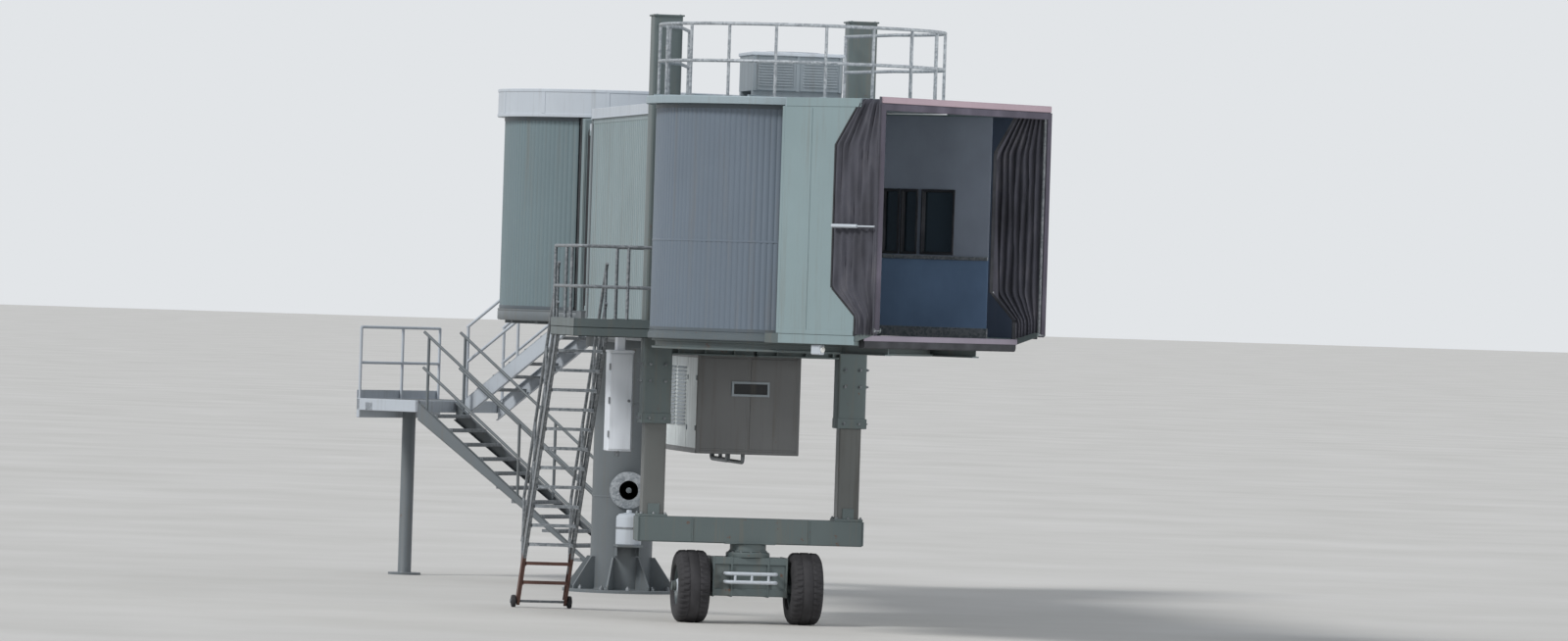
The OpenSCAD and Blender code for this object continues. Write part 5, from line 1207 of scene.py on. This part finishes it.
wound = joined(*[hose_ring(r, z) for r in (0.142, 0.174, 0.206) for z in (0.027, 0.061)])
piece("hose_reel_hose", moved(wound, ALONG_X, REEL), rubber, "fixed")
reel_axle = joined(turned([(0.02, -0.02), (0.02, 0.11)], steps=24),
                   turned([(0.03, 0.09), (0.03, 0.1), (0.026, 0.102)], steps=24))
piece("hose_brackets", joined(
    moved(reel_axle, ALONG_X, REEL), slab((0.38, -0.06, 1.27), (0.408, 0.06, 1.39)),
    slab((0.38, -0.165, 0.6), (0.76, 0.165, 0.63)),
    spread(slab((0.385, 0, 0.48), (0.6, 0.01, 0.605), 0.002), ys=(-0.15, 0.14))),
    steel_paint, "fixed")
piece("hose_canister_shell", turned(
    [(0.158, 0), (0.165, 0.008), (0.165, 0.34), (0.16, 0.365), (0.13, 0.395), (0.06, 0.41),
     (0.036, 0.412), (0.035, 0.44), (0.03, 0.449)], CANISTER, steps=72),
    white_paint, "fixed", "hose_canister")
strap = turned([(0.165, 0.83), (0.1675, 0.832), (0.1675, 0.858), (0.165, 0.86)], (0.585, 0, 0),
               steps=72)
piece("hose_canister_strap", joined(strap, slab((0.38, -0.03, 0.825), (0.425, 0.03, 0.865))),
      zinc, "fixed")

# Cab floor: a steel plate cut round to the room it turns about, over a turning ring and two
# carrying arms, with matting on top, a pale worn strip along its front edge, a rubber bumper
# and a small lamp below.
TO_CAB = about_z(42)
CAB_LOW, CAB_HIGH, CAB_SIDE, CAB_FRONT = 3.48, 6.07, 1.51, 2.08
cab_paint = paint("cab_paint", (132, 149, 151), blotch=0.05, streak=0.18)


def cab_piece(name, shape, finish, *stands_for, body="cab", crease=32):
    """A piece drawn in the cab's own directions, turned and set on its axis."""
    return piece(name, moved(shape, TO_CAB, HUB), finish, body, *stands_for, crease=crease)


def cut_round(radius, front, side):
    """The outline of a plate that reaches to front and to both sides, cut back by an arc."""
    reach = math.degrees(math.asin(side / radius))
    arc = around([(radius, 0)], np.linspace(reach, -reach, 60))[:, 0, :2]
    return np.concatenate([[(front, -side), (front, side)], arc])


ring = turned([(1.44, 3.262), (1.445, 3.26), (1.635, 3.26), (1.64, 3.265), (1.64, 3.285),
               (1.6, 3.29), (1.6, 3.345), (1.64, 3.35), (1.64, 3.3697), (1.44, 3.3697)], steps=144)
arm = joined(blocks(0.003, (1.2, -0.06, 3.26, 2.04, 0.06, 3.275),
                    (1.2, -0.06, 3.355, 2.04, 0.06, 3.3699)),
             slab((1.2, -0.006, 3.27), (2.04, 0.006, 3.36), 0.002))
cheek = moved(prism([(2.02, 3.39), (2.44, 3.525), (2.445, 3.57), (2.40, 3.57),
                     (CAB_FRONT, CAB_LOW), (2.02, CAB_LOW)], -0.018, 0), UPRIGHT)
cab_piece("cab_floor_plate", joined(prism(cut_round(1.7, CAB_FRONT, CAB_SIDE), 3.37, CAB_LOW), ring,
                                    spread(arm, ys=(-0.82, 0.82)),
                                    spread(cheek, ys=(1.47, -1.488))), column_paint, "cab_floor")
pin = turned([(0.015, 0), (0.015, 0.111), (0.024, 0.111), (0.024, 0.115)], steps=24)
cab_piece("canopy_pins", both(moved(pin, ALONG_Y, (2.425, 1.48, 3.55))), zinc)
mat_rib = slab((-0.004, -1.35, 3.482), (0.004, 1.35, 3.488), 0.001)
cab_piece("cab_matting", joined(prism(cut_round(1.702, 2.04, 1.4), 3.4802, 3.484),
                                spread(mat_rib, np.arange(1.72, 2.02, 0.05))), matting)
strip_paint = paint("edge_strip", (112, 106, 116), rough=0.5, streak=0.05, chip=0.05, blotch=0.1)
cab_piece("cab_edge_strip", blocks(0.003, (2.03, -1.44, 3.478, 2.165, 1.44, 3.487),
                                   (2.159, -1.44, 3.425, 2.166, 1.44, 3.487)), strip_paint)
section = np.array([(2.08, 3.345), (2.135, 3.342), (2.152, 3.352), (2.16, 3.375), (2.16, 3.44),
                    (2.152, 3.466), (2.135, 3.477), (2.08, 3.477)])
cab_piece("cab_bumper_block", lofted([[(x, y, z) for x, z in section]
                                      for y in (-1.418, -1.415, 1.415, 1.418)]),
          rubber, "cab_bumper")
cab_piece("cab_side_strips", blocks(0.003, (0.98, -1.517, 3.372, CAB_FRONT, -1.509, 3.475),
                                    (0.79, 1.509, 3.372, CAB_FRONT, 1.517, 3.475)), cab_paint)
cab_piece("cab_lamp", joined(slab((1.43, -1.48, 3.25), (1.57, -1.39, 3.37), 0.012),
                             slab((1.48, -1.46, 3.36), (1.52, -1.41, 3.38), 0.002)), white_paint)
lens = turned([(0.034, 0), (0.036, 0.004), (0.03, 0.014), (0.012, 0.02)], steps=32)
lens_paint = paint("lamp_lens", (236, 236, 230), rough=0.25, streak=0.03,
                   blotch=0.03)
cab_piece("cab_lamp_lens", moved(lens, ALONG_X, (1.568, -1.435, 3.31)), lens_paint)

# Cab walls: flat sheet panels on folded posts, with cover strips over their joints and a
# stiff folded edge round the cut-away front. The window side has three panes in black rubber.
FRONT_EDGE = [(CAB_FRONT, CAB_LOW), (CAB_FRONT, 3.70), (1.73, 4.02), (1.73, 5.64),
              (2.02, CAB_HIGH)]
PANES = ((0.15, 0.35), (0.43, 0.62), (0.73, 1.16))
SILL, HEAD = 4.47, 5.17


def panel(outline, y0, y1):
    """An upright sheet given in X and Z, spread over Y."""
    return moved(prism(outline, y0, y1), UPRIGHT)


def wall_with_front(x, y0, y1):
    """The forward part of a side wall, from x to the cut-away front edge."""
    return panel([(x, CAB_LOW), *FRONT_EDGE, (x, CAB_HIGH)], y0, y1)


def edge_bead(y0, y1, wide=0.02, proud=0.004):
    """A folded bead along the front edge, from y0 to y1: straight bars that reach forward of
    the line by proud and back from that by wide, or down by wide where the line lies flat."""
    bars = []
    for (xa, za), (xb, zb) in zip(FRONT_EDGE, FRONT_EDGE[1:]):
        back, down = (0, wide) if abs(xa - xb) > abs(za - zb) else (wide, 0)
        bars.append(lofted([[(x + proud - back, y0, z - down), (x + proud, y0, z),
                             (x + proud, y1, z), (x + proud - back, y1, z - down)]
                            for x, z in ((xa, za), (xb, zb))]))
    return joined(*bars)


def around_panes(x0, x1, y0, y1, low, high):
    """A rectangle of wall with the panes left open: full strips between them, and a short
    piece over and under each."""
    edges = [x0, *[e for pane in PANES for e in pane], x1]
    strips = [(a, y0, low, b, y1, high) for a, b in zip(edges[::2], edges[1::2])]
    shorts = [(a, y0, z0, b, y1, z1) for a, b in PANES for z0, z1 in ((low, SILL), (HEAD, high))]
    return blocks(0.0004, *strips, *shorts)


plain = joined(wall_with_front(0.98, -1.51, -1.45),
               slab((0.94, -1.512, CAB_LOW), (0.985, -1.39, CAB_HIGH), 0.006),
               slab((1.34, -1.5155, 3.5), (1.38, -1.509, 6.05), 0.002),
               slab((0.98, -1.516, CAB_LOW), (2.06, -1.509, 3.53), 0.003))
cab_piece("cab_plain_side", plain, cab_paint, "cab_plain_wall")
window_side = joined(around_panes(0.05, 1.3, 1.45, 1.51, CAB_LOW, CAB_HIGH),
                     wall_with_front(1.3, 1.45, 1.51),
                     slab((0.05, 1.44, CAB_LOW), (0.09, 1.514, CAB_HIGH)),
                     slab((1.28, 1.509, 3.5), (1.32, 1.5155, 6.05), 0.002))
cab_piece("cab_window_side", window_side, cab_paint, "cab_window_wall")
cab_piece("cab_edge_beads", joined(edge_bead(-1.514, -1.446), edge_bead(1.446, 1.514)), rubber)
cab_piece("cab_window_gaskets", joined(*[
    border(a - 0.004, b + 0.004, SILL - 0.004, HEAD + 0.004, y, 0.026, proud)
    for a, b in PANES for y, proud in ((1.5095, 0.012), (1.4385, -0.012))]), rubber)
cab_piece("cab_window_reveals", blocks(
    0.001, *[(x - 0.004, 1.44, SILL, x + 0.004, 1.513, HEAD) for pane in PANES for x in pane],
    *[(a, 1.44, z - 0.004, b, 1.513, z + 0.004) for a, b in PANES for z in (SILL, HEAD)]), rubber)
cab_piece("cab_wall_seals", blocks(0.001, (0.84, -1.392, 3.49, 0.95, -1.382, 6.066),
                                   (0.04, 1.5, 3.49, 0.05, 1.644, 6.066),
                                   (-0.05, 1.63, 3.49, 0.05, 1.64, 6.066)), rubber)
dress(glass, "cab_windows")

# Lining inside the cab: painted panels, grey above a dado rail and blue below, each scuffed by wide
# noise. The flares at the front take dark blue-grey sheets, painted shade for the dark inside of
# the cab's mouth.
lining_paint, tree, shader = bare_material("cab_lining")
upper, lower, rail_height = linear(142, 150, 163), linear(110, 134, 164), 4.4
split = node(tree, "ShaderNodeSeparateXYZ")
on_piece(tree, split.inputs[0])
above = node(tree, "ShaderNodeMath", operation="GREATER_THAN")
above.inputs[1].default_value = rail_height
tree.links.new(split.outputs["Z"], above.inputs[0])
wide = noise(tree, 1.7, detail=5)
lining_colour = mixed(above.outputs[0], ramp(wide, [(0.3, lower * 0.85), (0.7, lower * 1.12)]),
                      ramp(wide, [(0.3, upper * 0.9), (0.7, upper * 1.1)]))
finished(shader, lining_colour, wide, (0.3, 0.8), (0.4, 0.58), noise(tree, 60.0, detail=2), 0.06)
lining = joined(around_panes(0.1, 1.3, 1.442, 1.4502, 3.5, 6.05),
                blocks(0.0004, (1.3, 1.442, 3.5, 1.7, 1.4502, 6.05),
                       (0.99, -1.4502, 3.5, 1.7, -1.442, 6.05)))
cab_piece("cab_lining_panels", lining, lining_paint)
dado = joined(blocks(0.004, (0.1, 1.425, 4.385, 1.7, 1.444, 4.425),
                     (0.99, -1.444, 4.385, 1.7, -1.425, 4.425)),
              blocks(0.003, (0.1, 1.43, 3.484, 1.72, 1.444, 3.6),
                     (0.99, -1.444, 3.484, 1.72, -1.43, 3.6)))
cab_piece("cab_dado_rails", dado, zinc)
# Dark blue-grey on the flares: painted shade.
painted_flare_shade = paint("painted_shade_flare", (62, 72, 88), rough=0.6, streak=0.1,
                    blotch=0.12)
flare = [(1.70, 3.5), (2.072, 3.5), (2.072, 3.704), (1.724, 4.022), (1.724, 5.638), (2.005, 6.05),
         (1.70, 6.05)]
cab_piece("cab_flare_painted_shade", both(panel(flare, 1.4445, 1.4502)), painted_flare_shade)

# Cab roof: a white sheet roof cut round to the round room's, with a drip edge and a seam.
lid = joined(prism(cut_round(1.80, CAB_FRONT, CAB_SIDE), CAB_HIGH, 6.155),
             slab((2.05, -CAB_SIDE, 6.09), (2.084, CAB_SIDE, 6.172), 0.003))
cab_piece("cab_roof_sheet", lid, roof_paint, "cab_roof")
cab_piece("cab_roof_edges", both(slab((1.0, 1.5, 6.07), (CAB_FRONT, 1.516, 6.17), 0.003)),
          cab_paint)


# Canopy: a steel hoop hinged at the cab's floor that leans on the aircraft, with a pleated
# dark fabric bellows behind it, a foam pad along its front, pale stay strips and two gas
# struts. The fabric is gathered into folds and sags a little between them.
def cloth(name, *shades):
    """Worn canvas: a wide noise picks among three shades, from the darkest to the palest, and
    the roughness; a harsh fine noise makes the weave."""
    made, tree, shader = bare_material(name)
    wear = noise(tree, 2.6, stretch=(1, 1, 0.5), detail=6)
    colour = ramp(wear, [(at, linear(*shade)) for at, shade in zip((0.3, 0.55, 0.8), shades)])
    finished(shader, colour, wear, (0.3, 0.8), (0.82, 0.95),
             noise(tree, 24.0, detail=7, roughness=0.7), 0.35, 0.006)
    return made


HOOP_X, HOOP_LOW, HOOP_TOP, HOOP_SIDE = 2.4, 3.52, 6.19, 1.6


def hoop_bar(inner, outer, back, front, low, drop=0.0):
    """A bar bent into a gate: up one side, over the top and down the other. Its section is a
    rectangle from inner to outer with drawn-in corners; drop lowers the bar over the top."""
    e = min(0.012, 0.3 * (front - back))
    depth = np.array([inner, inner, inner - e, outer + e, outer, outer, outer + e, inner - e])
    x = HOOP_X + np.array([back + e, front - e, front, front, front - e, back + e, back, back])
    side, head, foot = HOOP_SIDE - depth, HOOP_TOP - drop - depth, np.full(8, HOOP_LOW + low)
    return lofted([np.column_stack([x, y, z]) for y, z in (
        (-side, foot), (-side, head), (side, head), (side, foot))])


fabric = cloth("canopy_fabric", (54, 54, 60), (74, 74, 82), (104, 102, 106))
pad_cloth = cloth("canopy_pad_cloth", (54, 52, 60), (70, 67, 76), (90, 86, 96))
cab_piece("canopy_hoop_frame", hoop_bar(0.09, 0.0, 0.0, 0.03, 0.0), fabric, "canopy_hoop",
          body="canopy")
front_pad = cab_piece("canopy_front_pad", hoop_bar(0.082, 0.004, 0.028, 0.052, 0.03, drop=0.074),
                      pad_cloth, body="canopy")
cab_piece("canopy_stay_strip", hoop_bar(0.1, 0.085, -0.004, 0.034, 0.05), zinc, body="canopy")
head_paint = paint("canopy_head_bar", (138, 122, 129), streak=0.08, blotch=0.08)
cab_piece("canopy_head_bar", slab((HOOP_X + 0.012, -1.585, 6.118),
                                  (HOOP_X + 0.05, 1.585, HOOP_TOP), 0.006),
          head_paint, body="canopy")


def wall_front(z):
    """How far forward the cab's wall reaches at a height."""
    return np.interp(z, [3.48, 3.70, 4.02, 5.64, 6.07, 6.2],
                     [2.085, 2.085, 1.735, 1.735, 2.025, 2.085])


def pleats(folds=7, per_fold=10, height=0.044, thick=0.003):
    """Folded cloth round the cab's mouth. The edge line goes up one side, over the top and
    down the other; between it and the hoop the cloth runs in rounded zigzags whose height
    differs from fold to fold and along each fold, as the cloth sags. Gives the skin, its
    area and the length of its edge line."""
    line, out = arch(1.505, 3.497, 6.14, corner=0.05, steps=6)
    share = np.concatenate([[0], np.cumsum(np.linalg.norm(np.diff(line, axis=0), axis=1))])
    s = np.unique(np.concatenate([np.linspace(0, share[-1], 150), share]))
    line, out = [np.stack([np.interp(s, share, path[:, k]) for k in range(3)], -1)
                 for path in (line, out)]
    on_top = np.abs(line[:, 1]) < 1.45
    start = np.where(on_top, 2.09, wall_front(line[:, 2]))
    u = np.linspace(0, 1, folds * per_fold + 1)[:, None]
    which = np.floor(u * folds)
    wave = 0.5 - 0.5 * np.arcsin(0.97 * np.cos(2 * math.pi * folds * u)) / math.asin(0.97)
    sag = 0.6 + 0.25 * np.sin(5.1 * s + 2.3 * which) + 0.15 * np.sin(11.7 * s + 4.1 * which)
    drift = 0.02 * np.sin(3.3 * s + 1.9 * which) * np.sin(math.pi * u)
    outer = line + out * (height * np.where(on_top, 0.45, 1.0) * wave * sag)[..., None]
    outer[..., 0] = start + (u + drift) * (HOOP_X - 0.001 - start)
    down, along = [np.linalg.norm(np.diff(outer, axis=k), axis=-1) for k in (0, 1)]
    skin = lofted(np.concatenate([outer, (outer - thick * out)[:, ::-1]], 1))
    return skin, float((down[:, 1:] * along[1:]).sum()), float(s[-1])


skin, cloth_area, cloth_length = pleats()
folds = cab_piece("canopy_folds", skin, fabric, "canopy_bellows", body=None, crease=75)
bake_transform(folds)

# Struts of the canopy: a pale gas strut on each side at mid height, from the wall's edge to
# the hoop's leg.
strut = turned([(0.02, 0), (0.022, 0.004), (0.022, 0.36), (0.02, 0.364), (0.01, 0.366),
                (0.01, 0.62)], steps=20)
strut = moved(strut, ALONG_X, (1.76, 0, 4.72))
struts = cab_piece("canopy_struts", spread(strut, ys=(-1.575, 1.575)), white_paint, body=None)
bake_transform(struts)
